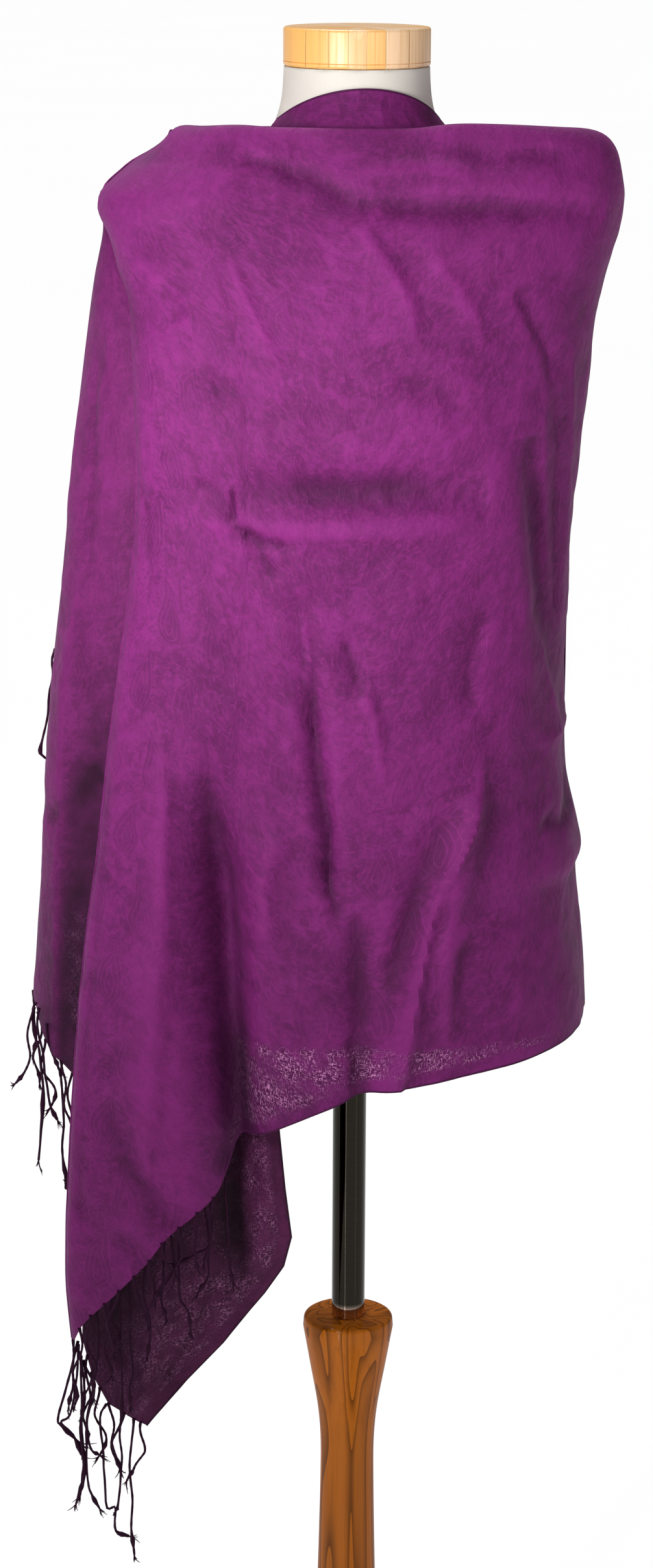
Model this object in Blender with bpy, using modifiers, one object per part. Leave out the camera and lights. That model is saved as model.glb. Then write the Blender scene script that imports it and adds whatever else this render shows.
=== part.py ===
"""A shawl scarf wrapped round a limbless dress form on a turned wooden stand.

Metres, +Z up.  The origin is on the floor, under the axis of the stand.  The
front faces -Y, and "left" and "right" are those of someone looking at it.

The scarf is one long rectangle of cloth with a fringe on each short end.  It
hangs over the left shoulder, crosses the back, comes round the right side
and crosses the front, and its outer end folds back on itself at the left.
"""

import math
from collections import namedtuple

import bmesh
import bpy
from mathutils import Vector

# Cloth, seams and clearances
CLOTH = 0.0016
SEAM = 0.0003
EDGE_GAP = 0.0006
LAYER_GAP = 0.0042

# The top edge of the cloth, standing against the front of the neck
COLLAR_GAP = 0.0009
COLLAR_REACH = math.radians(78)
COLLAR_MIDDLE = math.radians(6)
COLLAR_TOP = 1.5310
COLLAR_END = 1.5070
NECKLINE = 1.5020
NECKLINE_RADIUS = 0.0665

# The shoulders fall away behind the front ridge of the cloth
LEAN = 0.07
LEAN_FROM = -0.079
LEAN_HEIGHTS = (1.470, 1.500)

# Sizes of the stand
CAP_RADIUS = 0.0540
CAP_BOTTOM = 1.5438
CAP_HEIGHT = 0.0280
POLE_RADIUS = 0.0132
POST_TOP = 0.5610
BASE_RADIUS = 0.1900
BASE_HEIGHT = 0.0280
BODY_BOTTOM = 0.8450

# How finely each stretch of cloth is divided, across and down
WRAP_ROWS = 29
YOKE_CELLS = 4
FRONT_CELLS = (36, WRAP_ROWS)
BACK_CELLS = (18, WRAP_ROWS)
SIDE_CELLS = (9, 16)
TAIL_CELLS = (11, 13)
RETURN_CELLS = (4, 18)
CORNER_CELLS = (7, 12)
COLLAR_CELLS = (16, 2)
BODY_SIDES = 28
# Part of the front's cells that lie left of its middle
FRONT_LEFT_SHARE = 0.56
# Rows get further apart towards the lower edge by these powers
ROWS_SPREAD = 1.25
CORNER_SPREAD = 1.5

# The wrap at each height: how far it reaches to each side, and how square
# its plan is (2 is an ellipse)
Wrap = namedtuple("Wrap", "z right left front back square")
WRAP = (
    Wrap(1.5020, 0.0675, 0.0665, 0.0665, 0.066, 2.0),
    Wrap(1.5035, 0.1200, 0.1000, 0.0720, 0.071, 3.0),
    Wrap(1.5060, 0.1780, 0.1340, 0.0790, 0.077, 5.0),
    Wrap(1.4960, 0.1870, 0.1385, 0.0850, 0.083, 4.6),
    Wrap(1.4800, 0.1922, 0.1540, 0.0940, 0.091, 4.0),
    Wrap(1.4680, 0.1950, 0.1705, 0.1010, 0.096, 3.7),
    Wrap(1.4520, 0.1962, 0.1870, 0.1080, 0.101, 3.4),
    Wrap(1.4230, 0.1917, 0.1870, 0.1180, 0.109, 3.1),
    Wrap(1.3900, 0.1835, 0.1935, 0.1270, 0.114, 2.9),
    Wrap(1.3450, 0.1755, 0.2000, 0.1360, 0.118, 2.7),
    Wrap(1.2900, 0.1702, 0.2070, 0.1430, 0.118, 2.5),
    Wrap(1.2300, 0.1650, 0.2137, 0.1450, 0.117, 2.5),
    Wrap(1.1700, 0.1630, 0.2195, 0.1450, 0.117, 2.5),
    Wrap(1.1000, 0.1625, 0.2280, 0.1450, 0.119, 2.5),
    Wrap(1.0200, 0.1640, 0.2345, 0.1460, 0.124, 2.6),
    Wrap(0.9740, 0.1740, 0.2370, 0.1475, 0.127, 2.6),
    Wrap(0.9580, 0.1765, 0.2380, 0.1480, 0.128, 2.6),
    Wrap(0.9420, 0.1725, 0.2390, 0.1482, 0.129, 2.6),
    Wrap(0.8800, 0.1795, 0.2440, 0.1500, 0.132, 2.6),
    Wrap(0.8200, 0.1835, 0.2475, 0.1520, 0.136, 2.6),
    Wrap(0.5800, 0.1860, 0.2490, 0.1540, 0.138, 2.6),
)
YOKE_ROWS = 3

# How far the front ridge stands above its height, read across the cloth
Lift = namedtuple("Lift", "x rise")
RIDGE_LIFT = (
    Lift(-0.145, 0.0000),
    Lift(-0.134, 0.0035),
    Lift(-0.122, 0.0010),
    Lift(-0.086, 0.0030),
    Lift(-0.060, 0.0005),
    Lift(0.040, 0.0000),
    Lift(0.070, 0.0050),
    Lift(0.110, 0.0045),
    Lift(0.150, 0.0020),
    Lift(0.185, 0.0000),
)
LIFT_REACH = 0.010
LIFT_FADE = 0.030

# The folded left edge of the front stretch
Fold = namedtuple("Fold", "z x y")
FOLD_EDGE = (
    Fold(1.4400, -0.1880, -0.0010),
    Fold(1.4230, -0.1804, -0.0150),
    Fold(1.3970, -0.1716, -0.0350),
    Fold(1.3730, -0.1640, -0.0550),
    Fold(1.3370, -0.1607, -0.0720),
    Fold(1.2800, -0.1584, -0.0860),
    Fold(1.2000, -0.1606, -0.0930),
    Fold(1.1130, -0.1718, -0.0960),
    Fold(1.0500, -0.1808, -0.0980),
    Fold(0.9690, -0.1902, -0.1000),
    Fold(0.9050, -0.1987, -0.1020),
    Fold(0.8390, -0.2054, -0.1040),
    Fold(0.7440, -0.2125, -0.1070),
    Fold(0.6380, -0.2164, -0.1100),
    Fold(0.5770, -0.2117, -0.1120),
)
RETURN_TOP = 1.2900
RETURN_RISE = 0.055
RETURN_DEPTH = 0.006
RETURN_REACH = (0.030, 0.014)

# Where the layer under the front ends, hidden behind the folded edge
SIDE_TOP = 1.4330
SIDE_END = (
    Fold(1.4330, -0.1845, -0.0050),
    Fold(1.4230, -0.1790, -0.0120),
    Fold(1.4050, -0.1720, -0.0250),
    Fold(1.3730, -0.1570, -0.0450),
    Fold(1.3370, -0.1410, -0.0590),
    Fold(1.2820, -0.1330, -0.0720),
    Fold(1.2000, -0.1330, -0.0750),
    Fold(1.1000, -0.1400, -0.0770),
    Fold(1.0000, -0.1480, -0.0790),
    Fold(0.9000, -0.1600, -0.0800),
    Fold(0.7500, -0.1750, -0.0800),
)
SIDE_SQUARE = 2.3

# Height of each lower edge, read across the cloth.  A column finds its own
# by a few tries from a first height, because its x changes with the height
HEM_START = 0.8
HEM_TRIES = 4
Edge = namedtuple("Edge", "x z")
FRONT_HEM = (
    Edge(-0.2130, 0.5860),
    Edge(-0.2030, 0.6070),
    Edge(-0.1750, 0.6380),
    Edge(-0.1520, 0.6640),
    Edge(-0.1370, 0.6850),
    Edge(-0.1180, 0.7020),
    Edge(-0.1040, 0.7180),
    Edge(-0.0960, 0.7500),
    Edge(-0.0790, 0.7600),
    Edge(-0.0550, 0.7710),
    Edge(-0.0180, 0.7880),
    Edge(0.0140, 0.8010),
    Edge(0.0490, 0.8070),
    Edge(0.1050, 0.8160),
    Edge(0.1440, 0.8215),
    Edge(0.1700, 0.8265),
    Edge(0.1860, 0.8290),
)
BACK_HEM = (
    Edge(-0.2480, 0.8360),
    Edge(-0.1500, 0.8060),
    Edge(0.0000, 0.7970),
    Edge(0.1300, 0.8080),
    Edge(0.1860, 0.8290),
)
SIDE_HEM = (
    Edge(-0.2470, 0.8360),
    Edge(-0.2366, 0.8090),
    Edge(-0.2232, 0.7960),
    Edge(-0.2128, 0.7890),
    Edge(-0.1750, 0.7700),
)

# The tail that hangs under the front: its left and right edges, row by row.
# Its upper left corner lies on the lower edge of the side layer
Tail = namedtuple("Tail", "left_x left_y left_z right_x right_y right_z")
TAIL = (
    Tail(-0.196, -0.0789, 0.800, -0.050, -0.096, 0.800),
    Tail(-0.198, -0.0793, 0.755, -0.054, -0.099, 0.757),
    Tail(-0.200, -0.0840, 0.715, -0.049, -0.102, 0.707),
    Tail(-0.202, -0.087, 0.680, -0.044, -0.103, 0.668),
    Tail(-0.204, -0.088, 0.650, -0.050, -0.101, 0.643),
    Tail(-0.206, -0.088, 0.620, -0.065, -0.098, 0.619),
    Tail(-0.207, -0.088, 0.577, -0.097, -0.096, 0.577),
    Tail(-0.200, -0.089, 0.548, -0.127, -0.094, 0.543),
    Tail(-0.187, -0.090, 0.523, -0.157, -0.092, 0.505),
)

Valley = namedtuple("Valley", "x width depth z_low rise")
TAIL_VALLEY = Valley(-0.094, 0.020, 0.014, 0.580, 0.080)
TAIL_BULGE = 0.006

# The corner over the left shoulder at the back: its lower edge, from its
# inner end to the corner, as turns round the wrap (0 behind, 1 at the left)
CORNER_TURNS = (1 / 9, 8 / 9)
CORNER_HEIGHTS = (1.300, 1.106)
CORNER_BELOW_RIDGE = 0.005

# The largest folds.  Depth is inwards, so a ridge has a negative depth.  One
# that runs off the lower edge has its full depth after 1 / FOLD_START of it
FOLD_START = 2.5
Crease = namedtuple("Crease", "x_top z_top x_low z_low width depth runs_off")
FRONT_CREASES = (
    Crease(-0.112, 1.060, -0.093, 0.740, 0.019, 0.036, True),
    Crease(-0.152, 1.020, -0.158, 0.660, 0.024, -0.006, True),
    Crease(-0.085, 1.250, 0.095, 1.258, 0.017, 0.009, False),
    Crease(-0.085, 1.222, 0.090, 1.232, 0.012, -0.005, False),
    Crease(0.128, 1.290, 0.152, 1.060, 0.013, 0.010, False),
    Crease(0.092, 1.030, 0.040, 0.830, 0.012, -0.009, False),
    Crease(0.070, 1.020, 0.018, 0.850, 0.012, 0.006, False),
    Crease(-0.040, 1.180, -0.016, 0.950, 0.009, 0.007, False),
    Crease(0.004, 0.960, 0.010, 0.790, 0.012, 0.008, True),
    Crease(-0.052, 1.480, 0.010, 1.446, 0.010, 0.006, False),
    Crease(0.000, 1.452, 0.178, 1.448, 0.010, 0.008, False),
)
BACK_CREASES = (
    Crease(0.110, 1.330, 0.070, 0.850, 0.020, 0.007, False),
    Crease(0.020, 1.200, 0.030, 0.780, 0.022, 0.009, True),
    Crease(-0.060, 1.080, -0.075, 0.780, 0.020, -0.009, True),
    Crease(-0.140, 1.120, -0.160, 0.780, 0.020, 0.010, True),
    Crease(0.120, 1.050, 0.135, 0.780, 0.018, -0.008, True),
)

# The form's own sections
Section = namedtuple("Section", "z half_width front back square")
NECK_BASE = 1.5000
BODY = (
    Section(1.5435, 0.0540, 0.0540, 0.0540, 2.0),
    Section(1.5300, 0.0545, 0.0545, 0.0545, 2.0),
    Section(1.5180, 0.0558, 0.0558, 0.0558, 2.0),
    Section(1.5080, 0.0585, 0.0585, 0.0580, 2.0),
    Section(NECK_BASE, 0.0640, 0.0620, 0.0620, 2.0),
    Section(1.4990, 0.0850, 0.0650, 0.0640, 2.1),
    Section(1.4950, 0.1150, 0.0690, 0.0680, 2.3),
    Section(1.4850, 0.1400, 0.0750, 0.0740, 2.5),
    Section(1.4680, 0.1600, 0.0820, 0.0810, 2.6),
    Section(1.4480, 0.1700, 0.0900, 0.0880, 2.5),
    Section(1.4150, 0.1640, 0.1000, 0.0970, 2.4),
    Section(1.3700, 0.1540, 0.1120, 0.1040, 2.2),
    Section(1.3200, 0.1500, 0.1230, 0.1060, 2.2),
    Section(1.2700, 0.1480, 0.1260, 0.1040, 2.2),
    Section(1.2100, 0.1400, 0.1100, 0.0980, 2.2),
    Section(1.1100, 0.1220, 0.0930, 0.0900, 2.2),
    Section(1.0400, 0.1300, 0.0990, 0.0990, 2.2),
    Section(0.9600, 0.1480, 0.1090, 0.1120, 2.2),
    Section(0.9000, 0.1530, 0.1120, 0.1160, 2.2),
    Section(BODY_BOTTOM, 0.1490, 0.1080, 0.1130, 2.2),
)
NECK = [section for section in BODY if section.z >= NECK_BASE]

# Turned profile of the post, from its top edge down
Turn = namedtuple("Turn", "z radius")
POST = (
    Turn(POST_TOP, 0.0335),
    Turn(0.5590, 0.0355),
    Turn(0.5520, 0.0360),
    Turn(0.5180, 0.0301),
    Turn(0.4840, 0.0242),
    Turn(0.4600, 0.0219),
    Turn(0.4350, 0.0214),
    Turn(0.3460, 0.0231),
    Turn(0.2200, 0.0268),
    Turn(0.1300, 0.0300),
    Turn(0.0800, 0.0270),
    Turn(0.0550, 0.0270),
    Turn(0.0420, 0.0400),
)

# Fringe: strands are counted along each edge
STRAND_RADIUS = 0.0010
STRAND_STEPS = 4
STRIP_HEIGHT = 0.0050
STRIP_THICKNESS = 0.0018
Fringe = namedtuple("Fringe", "strands length lean sway")
FRONT_FRINGE = Fringe(16, 0.088, -0.004, 0.0040)
SIDE_FRINGE = Fringe(8, 0.100, -0.006, 0.0045)
TAIL_FRINGE = Fringe(8, 0.104, -0.004, 0.0040)
BACK_FRINGE = Fringe(14, 0.095, -0.002, 0.0030)
# How much of each stretch's lower edge is fringed, in cells of its grid
FRONT_FRINGE_COLUMNS = 9
SIDE_FRINGE_COLUMNS = 6
TAIL_FRINGE_ROWS = 3

# Plain colours, as linear values, with roughness and metallic
PURPLE = ((0.20, 0.028, 0.165, 1.0), 0.65, 0.0)
OFF_WHITE = ((0.80, 0.78, 0.74, 1.0), 0.70, 0.0)
PINE = ((0.70, 0.42, 0.16, 1.0), 0.40, 0.0)
VARNISHED = ((0.36, 0.12, 0.03, 1.0), 0.22, 0.0)
CHROME = ((0.62, 0.62, 0.63, 1.0), 0.12, 1.0)


def clear_scene():
    """Remove what the start-up file holds."""
    for item in list(bpy.data.objects):
        bpy.data.objects.remove(item, do_unlink=True)


def material(name, finish):
    """A plain Principled material."""
    colour, roughness, metallic = finish
    made = bpy.data.materials.new(name)
    made.use_nodes = True
    shader = made.node_tree.nodes["Principled BSDF"]
    shader.inputs["Base Color"].default_value = colour
    shader.inputs["Roughness"].default_value = roughness
    shader.inputs["Metallic"].default_value = metallic
    return made


def place(name, mesh, finish):
    """Put a mesh in the part's collection under its node's name."""
    made = bpy.data.objects.new(name, mesh)
    COLLECTION.objects.link(made)
    mesh.materials.append(finish)
    mesh.shade_smooth()
    mesh.set_sharp_from_angle(angle=math.radians(50))
    return made


def read(table, key, at, column):
    """A column of a table at a value of its key, on a smooth curve through the rows."""
    rows = sorted(table, key=lambda row: getattr(row, key))
    keys = [getattr(row, key) for row in rows]
    values = [getattr(row, column) for row in rows]
    if at <= keys[0]:
        return values[0]
    if at >= keys[-1]:
        return values[-1]
    step = max(i for i in range(len(keys) - 1) if keys[i] <= at)
    span = keys[step + 1] - keys[step]
    slopes = []
    for i in (step, step + 1):
        low, high = max(i - 1, 0), min(i + 1, len(keys) - 1)
        slopes.append((values[high] - values[low]) / (keys[high] - keys[low]) * span)
    t = (at - keys[step]) / span
    rise = t * t * (3 - 2 * t)
    curve = values[step] + (values[step + 1] - values[step]) * rise
    return curve + slopes[0] * t * (1 - t) ** 2 - slopes[1] * t * t * (1 - t)


def down_table(table, share):
    """A row of a table, read by how far down its list it is (0 to 1)."""
    at = share * (len(table) - 1)
    step = min(int(at), len(table) - 2)
    t = at - step
    upper, lower = table[step], table[step + 1]
    return type(upper)(*(a + (b - a) * t for a, b in zip(upper, lower)))


def quarter(width, depth, square, share):
    """A point on a quarter of a rounded plan: share 0 at its middle, 1 at its side.

    The share runs evenly along the outline, which is measured in short chords.
    """
    chords = 24
    points = []
    for i in range(chords + 1):
        turn = i / chords * math.pi / 2
        across = math.sin(turn) ** (2 / square)
        along = math.cos(turn) ** (2 / square)
        points.append(Vector((width * across, depth * along)))
    lengths = [0.0]
    for a, b in zip(points, points[1:]):
        lengths.append(lengths[-1] + (b - a).length)
    goal = share * lengths[-1]
    for i in range(chords):
        if goal <= lengths[i + 1] or i == chords - 1:
            t = (goal - lengths[i]) / (lengths[i + 1] - lengths[i])
            return points[i].lerp(points[i + 1], min(t, 1.0))


def leaned(point):
    """Lower a point of the shoulders by how far it lies behind the front ridge."""
    low, high = LEAN_HEIGHTS
    share = min(max((point.z - low) / (high - low), 0.0), 1.0)
    share = share * share * (3 - 2 * share)
    drop = LEAN * max(point.y - LEAN_FROM, 0.0) * share
    return Vector((point.x, point.y, point.z - drop))


def lifted(point, share):
    """Raise a point of the front ridge by its place across the cloth."""
    if point.y > 0:
        return point
    fade = min(-point.y / LIFT_FADE, 1.0)
    rise = read(RIDGE_LIFT, "x", point.x, "rise") * share * fade
    return Vector((point.x, point.y, point.z + rise))


def wrap_at(level):
    """The wrap's row at a level: 0 at the neckline, and 1 more at each row of the yoke.

    Past the ridge the whole number stays and the height decides.
    """
    return down_table(WRAP[:YOKE_ROWS], level / (YOKE_ROWS - 1))


def wrap_row(z):
    """The wrap's row at a height below the ridge."""
    below = WRAP[YOKE_ROWS - 1:]
    values = {name: read(below, "z", z, name) for name in Wrap._fields[1:]}
    return Wrap(z=z, **values)


def inward(x, y, row):
    """The level direction into the wrap from a point of its plan."""
    depth = row.front if y < 0 else row.back
    width = row.right if x > 0 else row.left
    direction = Vector((-x / width ** 2, -y / depth ** 2, 0.0))
    return direction.normalized() if direction.length > 0 else Vector((0, 1, 0))


def creased(point, row, creases):
    """Move a point in or out by the folds that pass it."""
    depth = 0.0
    for fold in creases:
        top = Vector((fold.x_top, fold.z_top))
        run = Vector((fold.x_low, fold.z_low)) - top
        offset = Vector((point.x, point.z)) - top
        along = offset.dot(run) / run.length_squared
        near = top + run * min(max(along, 0.0), 1.0)
        if fold.runs_off and along > 1:
            near = top + run * along
        away = (Vector((point.x, point.z)) - near).length
        if fold.runs_off:
            fade = min(max(along * FOLD_START, 0.0), 1.0)
            fade = fade * fade * (3 - 2 * fade)
        else:
            fade = math.sin(math.pi * min(max(along, 0.0), 1.0)) ** 0.5
        depth += fold.depth * fade * math.exp(-(away / fold.width) ** 2)
    return point + inward(point.x, point.y, row) * depth


def front_plan(row, across):
    """A point of the front's plan: across is -1 at its left edge, 0 in the middle, 1 at the right."""
    if across >= 0:
        point = quarter(row.right, row.front, row.square, across)
        return point.x, -point.y
    top_fold = FOLD_EDGE[0]
    if row.z >= top_fold.z:
        fold_x, fold_y = -row.left, 0.0
    else:
        fold_x = read(FOLD_EDGE, "z", row.z, "x")
        fold_y = read(FOLD_EDGE, "z", row.z, "y")
    point = quarter(-fold_x, row.front + fold_y, row.square, -across)
    return -point.x, fold_y - point.y


def back_plan(row, across):
    """A point of the back's plan: across is 1 at the right side, -1 at the left."""
    width = row.right if across > 0 else row.left
    point = quarter(width, row.back, row.square, abs(across))
    return math.copysign(point.x, across), point.y


def column_spot(plan, hem, across, down):
    """A point of the wrap: down is 0 at the neckline, 1 at the lower edge."""
    yoke_share = YOKE_CELLS / WRAP_ROWS
    ridge = WRAP[YOKE_ROWS - 1]
    if down < yoke_share:
        share = down / yoke_share
        row = wrap_at(share * (YOKE_ROWS - 1))
        x, y = plan(row, across)
        return lifted(leaned(Vector((x, y, row.z))), share ** 2), row
    t = ((down - yoke_share) / (1 - yoke_share)) ** ROWS_SPREAD
    low = HEM_START
    for _ in range(HEM_TRIES):
        x, y = plan(wrap_row(low), across)
        low = read(hem, "x", x, "z")
    row = wrap_row(ridge.z + (low - ridge.z) * t)
    x, y = plan(row, across)
    below = math.exp((row.z - ridge.z) / LIFT_REACH)
    return lifted(leaned(Vector((x, y, row.z))), below), row


def front_spot(u, v):
    """The front stretch: u from its left edge to its right, v from its hem up."""
    if u < FRONT_LEFT_SHARE:
        across = u / FRONT_LEFT_SHARE - 1
    else:
        across = (u - FRONT_LEFT_SHARE) / (1 - FRONT_LEFT_SHARE)
    point, row = column_spot(front_plan, FRONT_HEM, across, 1 - v)
    return creased(point, row, FRONT_CREASES)


def back_spot(u, v):
    """The back stretch: u from the right side round to the left, v from its hem up."""
    point, row = column_spot(back_plan, BACK_HEM, 1 - 2 * u, 1 - v)
    point.y += SEAM
    return creased(point, row, BACK_CREASES)


def collar_spot(u, v):
    """The top edge against the neck: u from left to right, v from its foot up."""
    turn = COLLAR_MIDDLE + (2 * u - 1) * COLLAR_REACH
    arc = math.cos((2 * u - 1) * math.pi / 2)
    top = COLLAR_END + (COLLAR_TOP - COLLAR_END) * arc
    foot = leaned(Vector((0.0, -NECKLINE_RADIUS * math.cos(turn), NECKLINE))).z + SEAM
    z = foot + (top - foot) * v
    above = read(NECK, "z", z, "half_width") + COLLAR_GAP + CLOTH
    radius = above + (NECKLINE_RADIUS - above) * (1 - v) ** 2
    return Vector((radius * math.sin(turn), -radius * math.cos(turn), z))


def side_spot(u, v):
    """The layer under the front at the left: u from the back seam forward, v from its hem up."""
    low = HEM_START
    for _ in range(HEM_TRIES):
        x = side_plan(low, u).x
        low = read(SIDE_HEM, "x", x, "z")
    z = low + (SIDE_TOP - low) * v
    point = side_plan(z, u)
    return Vector((point.x, point.y, z))


def side_plan(z, share):
    """A point of the side layer's plan: share 0 at the back seam, 1 at its hidden end."""
    left = wrap_row(z).left
    end_x = read(SIDE_END, "z", z, "x")
    end_y = read(SIDE_END, "z", z, "y")
    point = quarter(left + end_x, -end_y, SIDE_SQUARE, 1 - share)
    return Vector((end_x - point.x, -point.y))


def return_spot(u, v):
    """The cloth turned back at the front's left edge: u from its inner end out to the edge."""
    hem = front_spot(0.0, 0.0).z + RETURN_RISE * (1 - u) ** 2
    z = hem + (RETURN_TOP - hem) * v
    row = wrap_row(z)
    edge = creased(Vector((*front_plan(row, -1.0), z)), row, FRONT_CREASES)
    turn = (1 - u) * math.pi / 2
    reach = (RETURN_REACH[0] + (RETURN_REACH[1] - RETURN_REACH[0]) * v) * (1 - math.cos(turn))
    return edge + Vector((reach, CLOTH + RETURN_DEPTH * math.sin(turn), 0.0))


def tail_spot(u, v):
    """The low tail behind the front: u from left to right, v from its lower end up."""
    row = down_table(TAIL, 1 - v)
    left = Vector((row.left_x, row.left_y, row.left_z))
    right = Vector((row.right_x, row.right_y, row.right_z))
    point = left.lerp(right, u)
    high = min(max((point.z - TAIL_VALLEY.z_low) / TAIL_VALLEY.rise, 0.0), 1.0)
    valley = math.exp(-((point.x - TAIL_VALLEY.x) / TAIL_VALLEY.width) ** 2) * high
    bulge = math.sin(math.pi * u) * v
    point.y += TAIL_VALLEY.depth * valley - TAIL_BULGE * bulge
    return point


def over_back(turn, z):
    """A point just outside the back: turn is 0 behind and 1 at the left side."""
    row = wrap_row(z)
    x, y = back_plan(row, -turn)
    point = creased(leaned(Vector((x, y + SEAM, z))), row, BACK_CREASES)
    point.z += LAYER_GAP * math.exp((z - WRAP[YOKE_ROWS - 1].z) / LIFT_REACH)
    return point - inward(point.x, point.y, row) * (CLOTH + LAYER_GAP)


def corner_spot(u, v):
    """The outer end's corner at the back: u from its inner end to the left, v from its edge up."""
    turn = CORNER_TURNS[0] + (CORNER_TURNS[1] - CORNER_TURNS[0]) * u
    low = CORNER_HEIGHTS[0] + (CORNER_HEIGHTS[1] - CORNER_HEIGHTS[0]) * u
    ridge = WRAP[YOKE_ROWS - 1].z - CORNER_BELOW_RIDGE
    return over_back(turn, ridge - (ridge - low) * (1 - v) ** CORNER_SPREAD)


def sheet(name, cells, spot, finish):
    """A stretch of cloth: a flat grid moved to its place and given its wall."""
    bm = bmesh.new()
    bmesh.ops.create_grid(bm, x_segments=cells[0], y_segments=cells[1], size=0.5)
    for corner in bm.verts:
        corner.co = spot(corner.co.x + 0.5, corner.co.y + 0.5)
    mesh = bpy.data.meshes.new(name)
    bm.to_mesh(mesh)
    bm.free()
    made = place(name, mesh, finish)
    wall = made.modifiers.new("wall", "SOLIDIFY")
    wall.thickness = CLOTH
    wall.offset = -1
    return made


Root = namedtuple("Root", "point out")
EDGE_STEP = 0.002


def edge_roots(spot, stops, out):
    """Points in the middle of the wall along an edge of a stretch, and the way out of it.

    The stops are places (u, v) on the edge, and out is the step in (u, v)
    that leads to the edge from inside.
    """
    roots = []
    for u, v in stops:
        here = spot(u, v)
        inside_u = 1 if u < 0.5 else -1
        inside_v = 1 if v < 0.5 else -1
        along_u = ((spot(u + EDGE_STEP * inside_u, v) - here) * inside_u).normalized()
        along_v = ((spot(u, v + EDGE_STEP * inside_v) - here) * inside_v).normalized()
        wall = along_u.cross(along_v).normalized()
        leave = (along_u * out[0] + along_v * out[1]).normalized()
        roots.append(Root(here - wall * CLOTH / 2 + leave * EDGE_GAP, leave))
    return roots


def strip_mesh(name, roots):
    """The narrow backing of a fringe, along an edge."""
    bm = bmesh.new()
    bmesh.ops.create_grid(bm, x_segments=len(roots) - 1, y_segments=1, size=0.5)
    for corner in bm.verts:
        root = roots[round((corner.co.x + 0.5) * (len(roots) - 1))]
        corner.co = root.point + root.out * STRIP_HEIGHT * (0.5 - corner.co.y)
    mesh = bpy.data.meshes.new(name)
    bm.to_mesh(mesh)
    bm.free()
    return mesh


def straight_fall(root, side, out, drop):
    """A strand's point a drop below its root, moved aside and outwards."""
    return root + Vector((side, out, -drop))


def back_fall(root, side, out, drop):
    """The same outside the back, whose shape the strand follows."""
    z = root.z - drop
    low, high = 0.0, 1.0
    for _ in range(18):
        middle = (low + high) / 2
        if over_back(middle, z).x > root.x + side:
            low = middle
        else:
            high = middle
    point = over_back(low, z)
    gap = LAYER_GAP * min(drop / STRIP_HEIGHT, 1.0) + abs(out)
    return point - inward(point.x, point.y, wrap_row(z)) * gap


def strand_points(root, fringe, index, fall):
    """One strand: it leaves its edge, turns down and sways a little."""
    pace = 0.5 + 0.5 * math.sin(index * 2.4)
    length = fringe.length * (0.80 + 0.20 * pace)
    side = math.sin(index * 0.9) * fringe.sway
    out = math.cos(index * 1.1) * fringe.sway * 0.5
    start = root.point + root.out * STRIP_HEIGHT * 0.5
    knee = root.point + root.out * (STRIP_HEIGHT + STRAND_RADIUS)
    points = [start, knee]
    for i in range(1, STRAND_STEPS + 1):
        t = i / STRAND_STEPS
        sway = math.sin(math.pi * t * 1.3)
        points.append(fall(knee, side * sway + fringe.lean * t, out * sway, length * t))
    return points


def fringe_node(name, roots, fringe, finish, fall=straight_fall):
    """A fringe: strands with their roots fused into a narrow strip."""
    made = place(name, strip_mesh(name, roots), finish)
    wall = made.modifiers.new("wall", "SOLIDIFY")
    wall.thickness = STRIP_THICKNESS
    wall.offset = 0
    curve = bpy.data.curves.new(name + "_strands", "CURVE")
    curve.dimensions = "3D"
    curve.bevel_depth = STRAND_RADIUS
    curve.bevel_resolution = 0
    curve.use_fill_caps = True
    for index in range(fringe.strands):
        at = (index + 0.5) / fringe.strands * (len(roots) - 1)
        step = min(int(at), len(roots) - 2)
        point = roots[step].point.lerp(roots[step + 1].point, at - step)
        out = roots[step].out.lerp(roots[step + 1].out, at - step)
        points = strand_points(Root(point, out), fringe, index, fall)
        spline = curve.splines.new("POLY")
        spline.points.add(len(points) - 1)
        for knot, spot in zip(spline.points, points):
            knot.co = (*spot, 1.0)
    tubes = bpy.data.objects.new(name + "_tubes", curve)
    COLLECTION.objects.link(tubes)
    bpy.context.view_layer.update()
    shaped = tubes.evaluated_get(bpy.context.evaluated_depsgraph_get())
    tube_mesh = bpy.data.meshes.new_from_object(shaped)
    bpy.data.objects.remove(tubes, do_unlink=True)
    bm = bmesh.new()
    bm.from_mesh(tube_mesh)
    bmesh.ops.remove_doubles(bm, verts=bm.verts, dist=0.00001)
    bm.to_mesh(tube_mesh)
    bm.free()
    strands = bpy.data.objects.new(name + "_strands", tube_mesh)
    HELPERS.objects.link(strands)
    strands.hide_render = True
    strands.display_type = "WIRE"
    join = made.modifiers.new("strands", "BOOLEAN")
    join.operation = "UNION"
    join.solver = "EXACT"
    join.object = strands
    return made


def ring(section, sides):
    """The points of one section of the form."""
    points = []
    for i in range(sides):
        turn = 2 * math.pi * i / sides
        across, along = math.cos(turn), math.sin(turn)
        x = section.half_width * math.copysign(abs(across) ** (2 / section.square), across)
        depth = section.front if along < 0 else section.back
        y = depth * math.copysign(abs(along) ** (2 / section.square), along)
        point = Vector((x, y, section.z))
        points.append(point if section.z > NECK_BASE else leaned(point))
    return points


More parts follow.
